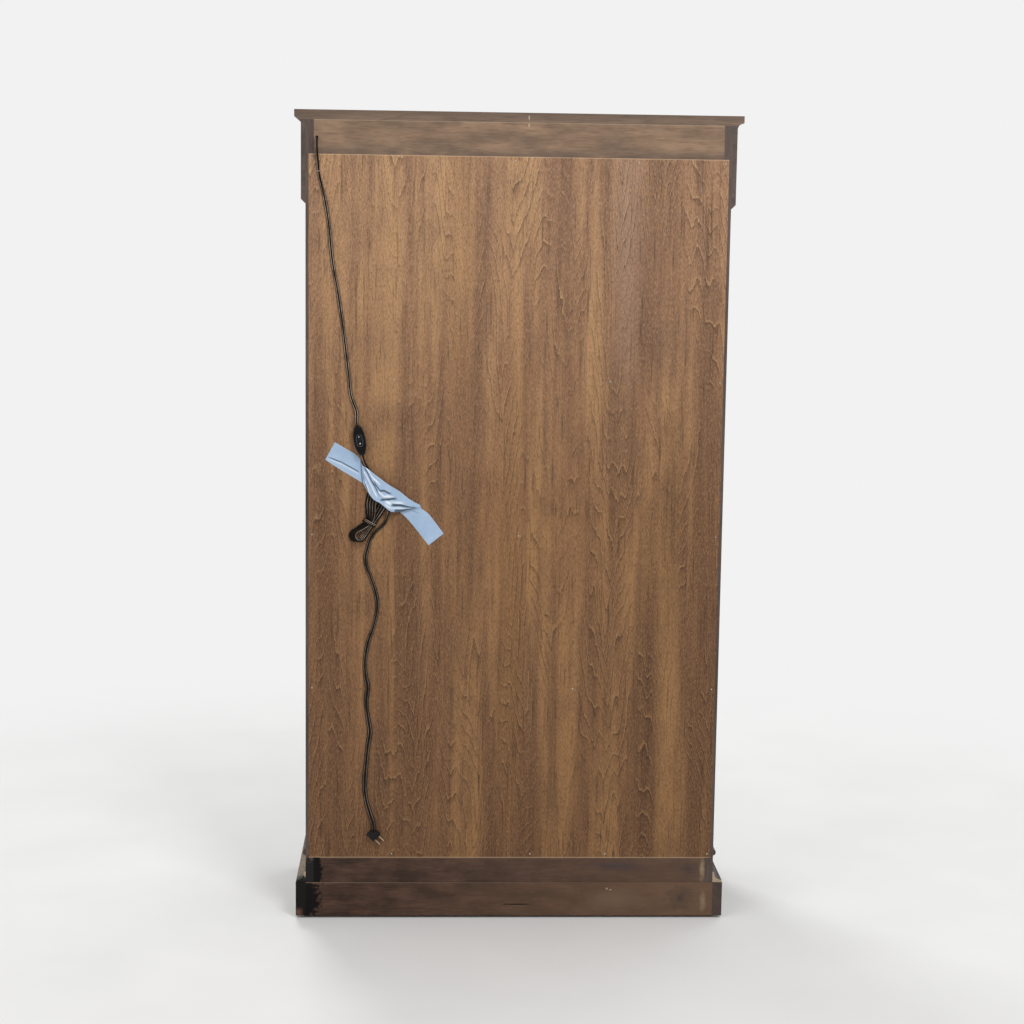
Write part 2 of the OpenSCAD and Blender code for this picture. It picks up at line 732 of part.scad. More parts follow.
// A flat cord swept along points: a closed mesh of rings, its width lying along
// the panel, or lying on the ceiling board where flat_down is true
function section_side(t, flat_down) =
    flat_down ? unit(cross(t, [0, 0, 1])) : unit(cross(t, [0, 1, 0]) + 0.02 * ([1, 0, 0] - t[0] * t));
module tube(p, sides, flat_down = false) {
    n = len(p);
    rings = [for (i = [0:n - 1])
        let (t = unit(p[min(n - 1, i + 1)] - p[max(0, i - 1)]), a = section_side(t, flat_down), b = cross(t, a))
        for (j = [0:sides - 1]) let (q = 360 * (j + 0.5) / sides)
            p[i] + a * (cos(q) * cord_w / 2) + b * (sin(q) * cord_t / 2)];
    walls = [for (i = [0:n - 2]) for (j = [0:sides - 1])
        let (k = (j + 1) % sides, a = i * sides + j, b = i * sides + k)
        each [[a, b, a + sides], [b, b + sides, a + sides]]];
    ends = [for (j = [1:sides - 2]) each [[0, j + 1, j],
        [(n - 1) * sides, (n - 1) * sides + j, (n - 1) * sides + j + 1]]];
    polyhedron(points = rings, faces = concat(walls, ends), convexity = 10);
}

module on_back() {
    translate([0, y_back, 0]) children();
}

module cord_upper() {
    color(cord_col) on_back() tube(curve(upper_route), 8);
}

module cord_hank() {
    echo(least_gap = least_gap(hank_route), cord_length = cord_l);
    color(cord_col) on_back() tube(hank_route, 6);
}

module cord_lower() {
    color(cord_col) on_back() tube(curve(lower_route), 8);
}

module slot_shape(w, h) {
    square([w - h, h], center = true);
    for (s = [-1, 1]) translate([s * (w - h) / 2, 0]) circle(d = h);
}

// The hank's tie, two turns of cord side by side
module hank_tie() {
    wide = 2 * waist_half + (hank_turns - 1) * waist_step + cord_w + 2 * tie_clear;
    low = cord_clear + tie_t;
    high = waist_y + (hank_turns - 0.5) * layer_pitch + cord_t / 2 + cord_clear - low;
    groove = 1;
    translate([waist_at[0], low + high / 2, waist_at[1]]) rotate([0, hank_lean(0), 0]) difference() {
        linear_extrude(tie_h, center = true) slot_shape(wide + 2 * tie_t, high + 2 * tie_t);
        linear_extrude(2 * tie_h, center = true) slot_shape(wide, high);
        linear_extrude(groove, center = true) difference() {
            slot_shape(wide + 3 * tie_t, high + 3 * tie_t);
            slot_shape(wide + 2 * tie_t - 2 * groove, high + 2 * tie_t - 2 * groove);
        }
    }
}

// A wire staple over the cord below the exit
module cable_staple() {
    wire = 1;
    leg = 3.5;
    span = cord_w + 2.4;
    high = cord_y + cord_t / 2 + 0.4;
    translate([cable_staple_at[0], 0, cable_staple_at[1]]) {
        for (s = [-1, 1]) translate([s * span / 2 - wire / 2, -leg, -wire / 2])
            cube([wire, leg + high + wire, wire]);
        translate([-span / 2 - wire / 2, high, -wire / 2]) cube([span + wire, wire, wire]);
    }
}

module cord_ties() {
    color(cord_col) on_back() {
        hank_tie();
        cable_staple();
    }
}

// Switch: an oval housing with a rocker let into its face, drawn upright
switch_end_w = 13;
rocker_l = 25;
rocker_w = 12;
rocker_pit = 9;
pivot_r = 1.5;
pivot_l = 2;
pivot_down = 3.2;
module on_switch() {
    on_back() translate(switch_mid) rotate([0, switch_tilt, 0]) children();
}

module switch_outline() {
    sag = (switch_w - switch_end_w) / 2;
    r = (switch_l * switch_l / 4 + sag * sag) / (2 * sag);
    intersection() {
        translate([r - switch_w / 2, 0]) circle(r = r, $fn = 180);
        translate([switch_w / 2 - r, 0]) circle(r = r, $fn = 180);
        square([switch_w, switch_l], center = true);
    }
}

module switch_body() {
    color(black_col) on_switch() difference() {
        rotate([90, 0, 0]) linear_extrude(switch_t, center = true) switch_outline();
        translate([-rocker_w / 2 - fit, switch_t / 2 - rocker_pit, -rocker_l / 2 - fit])
            cube([rocker_w + 2 * fit, rocker_pit + cut, rocker_l + 2 * fit]);
        translate([0, switch_t / 2 - pivot_down, 0]) rotate([0, 90, 0])
            cylinder(h = rocker_w + 2 * pivot_l + 2 * fit, r = pivot_r + pin_clear, center = true);
    }
}

module switch_rocker() {
    color([0.2, 0.2, 0.21]) on_switch() translate([0, switch_t / 2 - pivot_down, 0])
        rotate([-rocker_swing / 2, 0, 0]) {
            rotate([0, 90, 0]) {
                cylinder(h = rocker_w + 2 * pivot_l, r = pivot_r, center = true);
                linear_extrude(rocker_w, center = true) rocker_profile();
            }
        }
}

// Section of the rocker: X runs along the switch, Y out of its face
module rocker_profile() {
    end = rocker_l / 2 - 0.8;
    foot = end - 3;
    foot_y = -2.4;
    horn_y = pivot_down + 1.6;
    dip_y = pivot_down - 0.2;
    polygon([[-end, horn_y], [-foot, foot_y], [foot, foot_y], [end, horn_y], [0, dip_y]]);
}

module on_plug() {
    on_back() translate(plug_mid) rotate([0, plug_turn, 0]) children();
}

blade_w = 6.35;
blade_t = 1.5;
blade_in = 7;
module plug_body() {
    color(black_col) on_plug() difference() {
        rotate([90, 0, 0]) linear_extrude(plug_t, center = true)
            polygon([[-plug_half, plug_bottom], [plug_half, plug_bottom], [plug_half, plug_top],
                [plug_cut - plug_half, plug_top], [-plug_half, plug_top - plug_cut]]);
        blades(plug_bottom - cut, plug_bottom + blade_in);
    }
}

module blades(low, high) {
    for (s = [-1, 1])
        box([s * blade_pitch / 2 - blade_t / 2, -blade_w / 2, low],
            [s * blade_pitch / 2 + blade_t / 2, blade_w / 2, high]);
}

module plug_blades() {
    color(brass_col) on_plug() blades(plug_bottom - blade_l, plug_bottom + blade_in);
}

// Tape over the hank: across it at each station, from its lower edge [x, y, z] to
// its upper edge, y being the height off the panel
tape_t = 0.6;
tape_rows = 4;
tape_stations = [
    [[442, 0.2, 1102], [420, 0.2, 1143]], [[405, 0.2, 1078], [394, 0.2, 1128]],
    [[378, 0.2, 1062], [372, 0.2, 1115]], [[360, 0.3, 1051], [363, 0.3, 1106]],
    [[352, 7, 1045], [355, 10, 1090]], [[344, 13, 1031], [343, 11, 1083]],
    [[330, 18, 1013], [331, 16, 1074]], [[313, 18.5, 1003], [315, 17.5, 1062]],
    [[290, 18, 985], [296, 16, 1048]], [[274, 11, 983], [272, 6, 1032]],
    [[257, 4, 984], [250, 2, 1016]], [[246, 0.4, 968], [224, 0.4, 1000]],
    [[233, 0.2, 944], [199, 0.2, 975]], [[201, 0.2, 903], [166, 0.2, 931]]];

module tape() {
    m = tape_rows + 1;
    n = len(tape_stations);
    points = [for (up = [0, tape_t]) for (q = tape_stations) for (j = [0:tape_rows])
        mix(q[1], q[0], j / tape_rows) + [0, up, 0]];
    top = n * m;
    skin = [for (i = [0:n - 2]) for (j = [0:tape_rows - 1])
        let (a = i * m + j, b = a + 1, c = a + m, d = c + 1)
        each [[a, c, b], [b, c, d], [top + a, top + b, top + c], [top + b, top + d, top + c]]];
    rim_long = [for (i = [0:n - 2]) each let (a = i * m, b = a + m, c = a + tape_rows, d = c + m)
        [[a, top + a, b], [b, top + a, top + b], [c, d, top + c], [d, top + d, top + c]]];
    rim_ends = [for (j = [0:tape_rows - 1]) each let (a = j, b = j + 1, c = (n - 1) * m + j, d = c + 1)
        [[a, b, top + a], [b, top + b, top + a], [c, top + c, d], [d, top + c, top + d]]];
    color([0.65, 0.74, 0.83]) on_back()
        polyhedron(points = points, faces = concat(skin, rim_long, rim_ends), convexity = 6);
}

// Bevel round the door's sight opening: a wedge-sided plug that opens to the front
module sight_cut() {
    thin = 0.01;
    hull() {
        box([sight_x0 - sight_bevel - cut, y_front - cut, sight_z0 - sight_bevel - cut],
            [sight_x1 + sight_bevel + cut, y_front - cut + thin, sight_z1 + sight_bevel + cut]);
        box([sight_x0, y_front + sight_bevel - thin, sight_z0],
            [sight_x1, y_front + sight_bevel, sight_z1]);
    }
}

module glass_pocket() {
    box([sight_x0 - door_ledge, y_front + door_lip_t, sight_z0 - door_ledge],
        [sight_x1 + door_ledge, door_back + cut, sight_z1 + door_ledge]);
}

module door_tenons() {
    mid = y_front + door_lip_t - tenon_t / 2 - 0.5;
    x0 = sight_x0 - tenon_l;
    x1 = sight_x1 + tenon_l;
    shoulder = 12;
    for (z = [[door_z0 + shoulder, sight_z0 - shoulder], [sight_z1 + shoulder, door_z1 - shoulder]]) {
        box([x0, mid - tenon_t / 2, z[0]], [sight_x0 + 1, mid + tenon_t / 2, z[1]]);
        box([sight_x1 - 1, mid - tenon_t / 2, z[0]], [x1, mid + tenon_t / 2, z[1]]);
    }
}

module door_stiles(side) {
    color(case_col) handed(side) difference() {
        for (x = [door_x0, sight_x1])
            box([x, y_front, door_z0], [x + door_stile_w, door_back, door_z1]);
        sight_cut();
        glass_pocket();
        door_tenons();
        translate([knob_x, y_front - cut, knob_z]) rotate([-90, 0, 0])
            cylinder(h = stud_l + cut + fit, r = stud_r + pin_clear);
    }
}

module door_rails(side) {
    color(case_col) handed(side) {
        difference() {
            for (z = [[door_z0, sight_z0], [sight_z1, door_z1]])
                box([sight_x0, y_front, z[0]], [sight_x1, door_back, z[1]]);
            sight_cut();
            glass_pocket();
        }
        door_tenons();
    }
}

module door_glass(side) {
    gap = 1;
    color(glass_col) handed(side)
        box([sight_x0 - door_ledge + gap, y_front + door_lip_t, sight_z0 - door_ledge + gap],
            [sight_x1 + door_ledge - gap, y_front + door_lip_t + door_glass_t, sight_z1 + door_ledge - gap]);
}

module door_stops(side) {
    y0 = y_front + door_lip_t + door_glass_t;
    x0 = sight_x0 - door_ledge;
    x1 = sight_x1 + door_ledge;
    z0 = sight_z0 - door_ledge;
    z1 = sight_z1 + door_ledge;
    color(case_col) handed(side) {
        box([x0, y0, z0], [x1, door_back, z0 + door_ledge]);
        box([x0, y0, z1 - door_ledge], [x1, door_back, z1]);
        box([x0, y0, z0 + door_ledge + mitre_gap], [x0 + door_ledge, door_back, z1 - door_ledge - mitre_gap]);
        box([x1 - door_ledge, y0, z0 + door_ledge + mitre_gap], [x1, door_back, z1 - door_ledge - mitre_gap]);
    }
}

// Turned knob with its rosette and the threaded stud that holds it
module door_knob(side) {
    neck_r = knob_r * 0.42;
    rose_r = knob_r * 0.72;
    rose_t = 3;
    head_t = 11;
    edge = 2;
    color(brass_col) handed(side) translate([knob_x, y_front, knob_z]) {
        rotate([-90, 0, 0]) cylinder(h = stud_l, r = stud_r);
        rotate([90, 0, 0]) rotate_extrude() {
            square([rose_r, rose_t]);
            square([neck_r, knob_out - head_t + 1]);
            intersection() {
                translate([0, knob_out - head_t]) square([knob_r, head_t]);
                translate([knob_r - head_t / 2 - edge, knob_out - head_t / 2]) circle(r = head_t / 2 + edge);
            }
            translate([0, knob_out - head_t]) square([knob_r - head_t / 2, head_t]);
        }
    }
}

// Knuckles with number parity, each with the web that joins it to its leaf
module hinge_leaf(on_door) {
    step = hinge_h / knuckles;
    x0 = on_door ? door_x1 : open_half - leaf_t;
    for (z = hinge_zs) difference() {
        union() {
            box([x0, y_front, z - hinge_h / 2], [x0 + leaf_t, leaf_y1, z + hinge_h / 2]);
            for (i = [(on_door ? 1 : 0):2:knuckles - 1]) translate([0, 0, z - hinge_h / 2 + i * step]) {
                translate([hinge_x, hinge_y, knuckle_gap / 2]) cylinder(h = step - knuckle_gap, r = barrel_r);
                box([x0, hinge_y, knuckle_gap / 2], [x0 + leaf_t, y_front + 1, step - knuckle_gap / 2]);
            }
        }
        translate([hinge_x, hinge_y, z - hinge_h]) cylinder(h = 2 * hinge_h, r = hinge_pin_r + pin_clear);
    }
}

module door_hinge_leaves(side) {
    color(brass_col) handed(side) hinge_leaf(true);
}

module frame_hinge_leaves() {
    color(brass_col) both_sides() hinge_leaf(false);
}

module hinge_pins() {
    head_h = 2.5;
    color(brass_col) both_sides() for (z = hinge_zs) translate([hinge_x, hinge_y, z]) {
        translate([0, 0, -hinge_h / 2]) cylinder(h = hinge_h, r = hinge_pin_r);
        translate([0, 0, hinge_h / 2]) cylinder(h = head_h, r = barrel_r * 0.8);
    }
}

module door_strike(side) {
    z1 = door_z1 - 2;
    color(steel_col) handed(side) box([catch_in + 4, door_back, z1 - strike_h],
        [catch_in + catch_w - 4, door_back + strike_t, z1]);
}

// Magnetic catches on the back of the face frame's top rail
module door_catches() {
    face = door_back + strike_t + fit;
    low = door_z1 - strike_h - 1;
    color(black_col) both_sides() difference() {
        box([catch_in, y_inside, low], [catch_in + catch_w, y_inside + catch_t, low + catch_h]);
        box([catch_in - cut, y_inside - cut, low - cut], [catch_in + catch_w + cut, face, frieze_z]);
    }
}

crown_cap();
crown_moulding();
frieze_front();
frieze_side(-1);  // frieze_left
frieze_side(1);  // frieze_right
side_board(-1);  // side_left
side_board(1);  // side_right
back_panel();
back_top_rail();
back_bottom_rail();
ceiling_board();
bottom_board();
shelf_frame(shelf_upper_z);  // shelf_upper_frame
shelf_frame(shelf_middle_z);  // shelf_middle_frame
shelf_frame(shelf_lower_z);  // shelf_lower_frame
shelf_glass();
face_stile(-1);  // face_stile_left
face_stile(1);  // face_stile_right
face_top_rail();
face_bottom_rail();
plinth_front();
plinth_side(-1);  // plinth_left
plinth_side(1);  // plinth_right
plinth_back();
base_moulding();
base_bead();
corner_blocks();
glides();
panel_nails();
lamp_cans();
lamp_bulbs();
lamp_lenses();
junction_box();
lamp_lead();
door_stiles(-1);  // door_left_stiles
door_rails(-1);  // door_left_rails
door_glass(-1);  // door_left_glass
door_stops(-1);  // door_left_stops
door_knob(-1);  // door_left_knob
door_hinge_leaves(-1);  // door_left_hinge_leaves
door_strike(-1);  // door_left_strike
door_stiles(1);  // door_right_stiles
door_rails(1);  // door_right_rails
door_glass(1);  // door_right_glass
door_stops(1);  // door_right_stops
door_knob(1);  // door_right_knob
door_hinge_leaves(1);  // door_right_hinge_leaves
door_strike(1);  // door_right_strike
frame_hinge_leaves();
hinge_pins();
door_catches();
cord_upper();
cord_hank();
cord_lower();
cord_ties();
switch_body();
switch_rocker();
plug_body();
plug_blades();
tape();
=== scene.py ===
import math
import random
import bmesh
import bpy
from mathutils import Matrix, Vector


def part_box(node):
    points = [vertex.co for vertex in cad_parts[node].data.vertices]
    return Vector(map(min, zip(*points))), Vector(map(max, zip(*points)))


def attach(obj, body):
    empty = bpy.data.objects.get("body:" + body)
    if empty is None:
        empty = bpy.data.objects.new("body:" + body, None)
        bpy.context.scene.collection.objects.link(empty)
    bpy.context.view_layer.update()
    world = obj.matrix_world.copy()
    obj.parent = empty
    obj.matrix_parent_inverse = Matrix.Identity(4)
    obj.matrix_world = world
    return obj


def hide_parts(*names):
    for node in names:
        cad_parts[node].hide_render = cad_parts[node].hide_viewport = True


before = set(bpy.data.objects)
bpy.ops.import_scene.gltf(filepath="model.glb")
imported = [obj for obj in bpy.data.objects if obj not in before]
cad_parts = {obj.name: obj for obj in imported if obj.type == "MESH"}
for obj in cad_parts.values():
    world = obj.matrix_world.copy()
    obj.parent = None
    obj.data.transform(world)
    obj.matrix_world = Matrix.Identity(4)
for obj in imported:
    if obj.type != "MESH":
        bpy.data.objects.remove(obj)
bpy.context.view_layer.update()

# The view
# The cabinet is seen from behind, by a camera at standing height, a little to
# the cabinet's left; the long lens keeps the uprights nearly parallel.
eye = Vector((0.2057, 4.865, 1.6204))
yaw, pitch, roll = 0.0426, 0.1357, 0.0137
photo_size, photo_focal = 1024, 2017
level = Vector((-math.sin(yaw), -math.cos(yaw), 0))
across = Vector((-math.cos(yaw), math.sin(yaw), 0))
ahead = math.cos(pitch) * level - math.sin(pitch) * Vector((0, 0, 1))
above = math.sin(pitch) * level + math.cos(pitch) * Vector((0, 0, 1))
right = math.cos(roll) * across + math.sin(roll) * above
above = -math.sin(roll) * across + math.cos(roll) * above
camera = bpy.data.objects.new("camera", bpy.data.cameras.new("camera"))
camera.data.sensor_width = 36
camera.data.lens = photo_focal / photo_size * camera.data.sensor_width
camera.matrix_world = Matrix.Translation(eye) @ Matrix((right, above, -ahead)).transposed().to_4x4()
bpy.context.scene.collection.objects.link(camera)
bpy.context.scene.camera = camera

# Side boards
# Solid poplar boards, stained a greyed walnut brown and rubbed with a dark
# glaze, which gathers in the grain; grooved and rabbeted, glued to the frame.


def tint(code):
    """An sRGB hex colour as a linear one."""
    parts = [int(code[i:i + 2], 16) / 255 for i in (1, 3, 5)]
    return [p / 12.92 if p <= 0.04045 else ((p + 0.055) / 1.055) ** 2.4 for p in parts] + [1]


def add(tree, kind, *feeds, stops=None, **settings):
    """Adds a shader node. Feeds go to its inputs in order; settings go to its
    properties or its named inputs. Each may be a value, a socket or a node."""
    made = tree.nodes.new("ShaderNode" + kind)
    named = {}
    for key, value in settings.items():
        if hasattr(made, key):
            setattr(made, key, value)
        else:
            named[key.replace("_", " ")] = value
    if stops:
        points = made.color_ramp.elements
        for i, (place, colour) in enumerate(stops):
            point = points[i] if i < 2 else points.new(place)
            point.position = place
            point.color = tint(colour)
    sockets = [s for s in made.inputs if s.enabled]
    for socket, value in list(zip(sockets, feeds)) + [(made.inputs[k], v) for k, v in named.items()]:
        if isinstance(value, bpy.types.Node):
            value = next(s for s in value.outputs if s.enabled)
        if isinstance(value, bpy.types.NodeSocket):
            tree.links.new(value, socket)
        elif value is not None:
            socket.default_value = value
    return made


def surface(name):
    """A new material with its shader, and the place on the piece, in metres."""
    finish = bpy.data.materials.new(name)
    finish.use_nodes = True
    tree = finish.node_tree
    shader = tree.nodes["Principled BSDF"]
    return finish, tree, shader, add(tree, "TexCoord").outputs["Object"]


def into(shader, socket, made):
    """Lets a node feed one of the shader's sockets."""
    shader.id_data.links.new(next(s for s in made.outputs if s.enabled), shader.inputs[socket])


def dress(finish, *names):
    """Gives CAD nodes a finish."""
    for name in names:
        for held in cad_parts[name].material_slots:
            held.material = finish


mitre_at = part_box("base_moulding")[1][0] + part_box("base_moulding")[0][1]


def along_grain(tree, place, grain):
    """The place turned so that the grain runs along Z. Mitred lengths run round the
    case, and their grain turns with them at the front corners."""
    turns = {"x": (0, math.pi / 2, 0), "y": (math.pi / 2, 0, 0), "z": (0, 0, 0)}
    if grain in turns:
        return add(tree, "Mapping", place, Rotation=turns[grain])
    aside, deep, _ = add(tree, "SeparateXYZ", place).outputs
    corner = add(tree, "Math", add(tree, "Math", aside, operation="ABSOLUTE"), deep)
    return add(tree, "Mix", add(tree, "Math", corner, mitre_at, operation="GREATER_THAN"),
               add(tree, "Mapping", place, Rotation=turns["x"]),
               add(tree, "Mapping", place, Rotation=turns["y"]), data_type="VECTOR")


def grain_noise(tree, turned, wide, long, detail=2.0, rough=0.5):
    """Noise whose cells are so many metres wide and long, along the grain."""
    scaled = add(tree, "VectorMath", turned, (1 / wide, 1 / wide, 1 / long), operation="MULTIPLY")
    return add(tree, "TexNoise", scaled, Scale=1.0, Detail=detail, Roughness=rough)


def growth_rings(tree, turned, wide, long, count):
    """How far across its growth ring a place is, 0 to 1: the rings are contours
    of a long noise, with ragged edges."""
    field = grain_noise(tree, turned, wide, long, 1.5, 0.45)
    ragged = grain_noise(tree, turned, 0.008, 0.035, 2.0, 0.6)
    bent = add(tree, "Math", ragged, 0.035, field, operation="MULTIPLY_ADD")
    return add(tree, "Math", add(tree, "Math", bent, float(count), operation="MULTIPLY"), operation="FRACT")


def patch(tree, place, middle, half, soft, ragged, scale):
    """How far an oval patch covers a place, 0 to 1. How soft and how ragged its edge
    is are shares of its size; the edge has so many jags to the metre."""
    offset = add(tree, "VectorMath", place, middle, operation="SUBTRACT")
    shares = add(tree, "VectorMath", offset, half, operation="DIVIDE")
    away = add(tree, "VectorMath", shares, operation="LENGTH")
    torn = add(tree, "TexNoise", place, Scale=scale, Detail=4.0, Roughness=0.6)
    edge = add(tree, "Math", torn, ragged * 2, away, operation="MULTIPLY_ADD")
    return add(tree, "MapRange", edge, 1 + ragged, 1 + ragged - soft, 0, 1)


def glazed(tree, wood, *layers):
    """The wood with colours over it. Each has the pattern that it follows, the values
    where it starts and where it is strongest, how strong it gets, and the colour."""
    for pattern, none_at, full_at, strength, colour in layers:
        shown = add(tree, "MapRange", pattern, none_at, full_at, 0, strength)
        wood = add(tree, "Mix", shown, wood, tint(colour), data_type="RGBA")
    return wood


def marked(tree, place, wood, *marks):
    """The wood with marks on it. Each has a patch's middle, half size, softness,
    raggedness and scale, and a colour."""
    for middle, half, soft, ragged, scale, colour in marks:
        covered = patch(tree, place, middle, half, soft, ragged, scale)
        wood = add(tree, "Mix", covered, wood, tint(colour), data_type="RGBA")
    return wood


def stained_board(name, grain, light, dark, glaze, rough=0.6, sheen=0.25, clouds=(0.035, 0.4)):
    """Stained and glazed solid wood. Rings 12 mm apart and pores 3 mm wide are
    drawn coarser than the real ones, which would not show."""
    finish, tree, shader, place = surface(name)
    shader.inputs["Specular IOR Level"].default_value = sheen
    turned = along_grain(tree, place, grain)
    cloud = grain_noise(tree, turned, *clouds, 3.0, 0.6)
    ring = add(tree, "Math", growth_rings(tree, turned, 0.06, 0.7, 9), 4.0, operation="POWER")
    pores = grain_noise(tree, turned, 0.0028, 0.045, 2.0, 0.6)
    wood = add(tree, "ValToRGB", cloud, stops=[(0.35, dark), (0.63, light)])
    in_rings = add(tree, "Math", ring, add(tree, "MapRange", cloud, 0.3, 0.7, 0.12, 0.4),
                   operation="MULTIPLY")
    wood = add(tree, "Mix", in_rings, wood, tint(glaze), data_type="RGBA")
    wood = glazed(tree, wood, (pores, 0.5, 0.7, 0.5, glaze))
    into(shader, "Base Color", wood)
    into(shader, "Roughness", add(tree, "MapRange", pores, 0.3, 0.7, rough - 0.06, rough + 0.1))
    into(shader, "Normal", add(tree, "Bump", Strength=0.35, Distance=0.0004,
                               Height=add(tree, "MapRange", pores, 0.4, 0.7, 1, 0)))
    return finish, tree, shader, place, wood


# The colours are the light and dark of the stain, and the glaze. Rubbed out, it has
# a satin shine. One finish for each way that the grain runs.
case_stain = ("#5e4e47", "#473b35", "#292120")
case_rough, case_sheen = 0.42, 0.4
poplar_upright, poplar_across, poplar_deep, poplar_mitred = [
    stained_board("stained_poplar_" + runs, grain, *case_stain, case_rough, case_sheen)[0]
    for runs, grain in (("upright", "z"), ("across", "x"), ("front_to_back", "y"), ("mitred", "round"))]
dress(poplar_upright, "side_left")

# The right side's back edge is black where stain ran down it to the floor.
stain_black = "#090605"
side_finish, tree, shader, place, wood = stained_board(
    "stained_poplar_upright_run", "z", *case_stain, case_rough, 0.3)
run_down = ((0.478, 0.202, 0.105), (0.03, 0.012, 0.055), 0.3, 0.7, 110.0, stain_black)
into(shader, "Base Color", marked(tree, place, wood, run_down))
dress(side_finish, "side_right")

# Boards and shelves
# Ceiling and bottom of birch plywood, stained lightly, let into the sides; three
# frames of solid wood, each with a groove for plates and a pane let in.
birch_inside = stained_board("stained_birch_plywood_inside", "x", "#8f6c50", "#76573f", "#4b3728",
                             0.55, 0.4)[0]
dress(birch_inside, "ceiling_board", "bottom_board")
dress(poplar_across, "shelf_upper_frame", "shelf_middle_frame", "shelf_lower_frame")

# Back rails
# Two poplar rails behind the crown and above the plinth, glued between the sides.
# The upper one has a cloudy wipe of thin stain, dull and grey-brown.
rail_finish, tree, shader, place, wood = stained_board(
    "wiped_poplar_rail", "x", "#937861", "#725e4e", "#5a493c", 0.65, 0.2, (0.035, 0.1))
height = add(tree, "SeparateXYZ", place).outputs["Z"]
smoky = add(tree, "Math", add(tree, "MapRange", height, 1.826, 1.804, 0, 1),
            grain_noise(tree, place, 0.05, 0.05, 3.0), operation="MULTIPLY")
wood = add(tree, "Mix", smoky, wood, tint("#4f453f"), data_type="RGBA")
# A pale broken line where the finish cracked along the joint with the cap.
cracked = add(tree, "Math", add(tree, "MapRange", height, 1.8758, 1.8772, 0, 0.65),
              add(tree, "TexNoise", place, Scale=70.0, Detail=3.0), operation="MULTIPLY")
wood = add(tree, "Mix", cracked, wood, tint("#b29e84"), data_type="RGBA")
bare_wood = "#bfae92"
chip = ((-0.02, 0.2, 1.872), (0.0018, 0.03, 0.006), 0.7, 0.3, 300.0, bare_wood)
into(shader, "Base Color", marked(tree, place, wood, chip))
dress(rail_finish, "back_top_rail")

# The lower rail was sprayed nearly black and is dull. It is darkest at the cabinet's
# right, where old stain ran down, and paler along its worn top edge and left end.
# A mark whose half size in depth is this runs right through the board.
through = 9
low_rail, tree, shader, place, wood = stained_board(
    "sprayed_poplar_rail", "x", "#543e33", "#33251f", "#231815", 0.6, 0.15, (0.035, 0.07))
across, _, height = add(tree, "SeparateXYZ", place).outputs
wood = glazed(tree, wood, (across, 0.4, -0.4, 0.5, "#6f5747"), (height, 0.1462, 0.1478, 0.4, "#86725f"))
wood = marked(tree, place, wood,
              ((0.466, 0.19, 0.112), (0.02, through, 0.07), 0.3, 0.9, 110.0, stain_black),
              ((-0.25, 0, 0.128), (0.08, through, 0.014), 1.0, 0.5, 30.0, "#453a3b"),
              ((-0.43, 0, 0.12), (0.03, through, 0.022), 1.2, 0.9, 60.0, "#463a36"),
              ((-0.462, 0, 0.118), (0.008, through, 0.036), 0.9, 0.6, 120.0, "#8f7b62"))
into(shader, "Base Color", wood)
dress(low_rail, "back_bottom_rail")

# Back panel
# 5 mm plywood with a rotary-cut face veneer, stained brown and left dull, nailed on
# from behind. It shows soft upright bands, ring edges like flames, and dark pores.
panel_finish, tree, shader, place = surface("stained_rotary_veneer")
turned = along_grain(tree, place, "z")
across, _, height = add(tree, "SeparateXYZ", place).outputs
broad = grain_noise(tree, turned, 0.09, 1.3, 2.0, 0.5)
narrow = grain_noise(tree, turned, 0.026, 0.6, 2.0, 0.6)
blotch = grain_noise(tree, turned, 0.05, 0.12, 3.0, 0.6)
bands = add(tree, "Math", broad, 0.55, add(tree, "Math", narrow, 0.45, operation="MULTIPLY"),
            operation="MULTIPLY_ADD")
veneer = add(tree, "ValToRGB", bands, stops=[(0.41, "#84644d"), (0.59, "#b69069"), (0.5, "#9d795c")])
veneer = glazed(tree, veneer, (blotch, 0.45, 0.7, 0.5, "#80624f"))
# Bands that stand out: middle and half size in metres, colour and how strongly.
for middle, half, colour, strength in (
        ((0.135, 0, 1.6), (0.05, through, 0.4), "#bd9468", 0.6),
        ((0.01, 0, 0.8), (0.05, through, 0.9), "#b98f63", 0.5),
        ((-0.25, 0, 1.6), (0.05, through, 0.5), "#b0917b", 0.55),
        ((-0.32, 0, 0.6), (0.045, through, 0.55), "#5f4536", 0.7),
        ((-0.37, 0, 1.0), (0.03, through, 0.4), "#5f4536", 0.6),
        ((0.27, 0, 1.2), (0.09, through, 0.05), "#755a4b", 0.5),
        ((-0.33, 0, 1.38), (0.06, through, 0.16), "#6b5145", 0.6)):
    covered = patch(tree, place, middle, half, 0.9, 0.35, 7.0)
    shown = add(tree, "Math", covered, strength, operation="MULTIPLY")
    veneer = add(tree, "Mix", shown, veneer, tint(colour), data_type="RGBA")
# The lathe cut through the growth rings at a slant, so that their edges run in
# long flames. Each ring darkens to a thin dark edge, and the next starts pale.
bent = add(tree, "Math", grain_noise(tree, turned, 0.22, 0.8, 1.0), 0.22, across, operation="MULTIPLY_ADD")
arm = add(tree, "Math", bent, 0.06, operation="PINGPONG")
slant = add(tree, "Math", arm, -4.8, height, operation="MULTIPLY_ADD")
slant = add(tree, "Math", grain_noise(tree, turned, 0.035, 0.4, 1.0), 0.3, slant, operation="MULTIPLY_ADD")
ragged = grain_noise(tree, turned, 0.008, 0.035, 2.0, 0.6)
slant = add(tree, "Math", ragged, 0.033, slant, operation="MULTIPLY_ADD")
ring = add(tree, "Math", add(tree, "Math", slant, 14.0, operation="MULTIPLY"), operation="FRACT")
shown_rings = add(tree, "Math", add(tree, "MapRange", arm, 0.057, 0.05, 0.1, 1),
                  add(tree, "MapRange", grain_noise(tree, turned, 0.06, 0.3, 2.0), 0.4, 0.56, 0.12, 1),
                  operation="MULTIPLY")
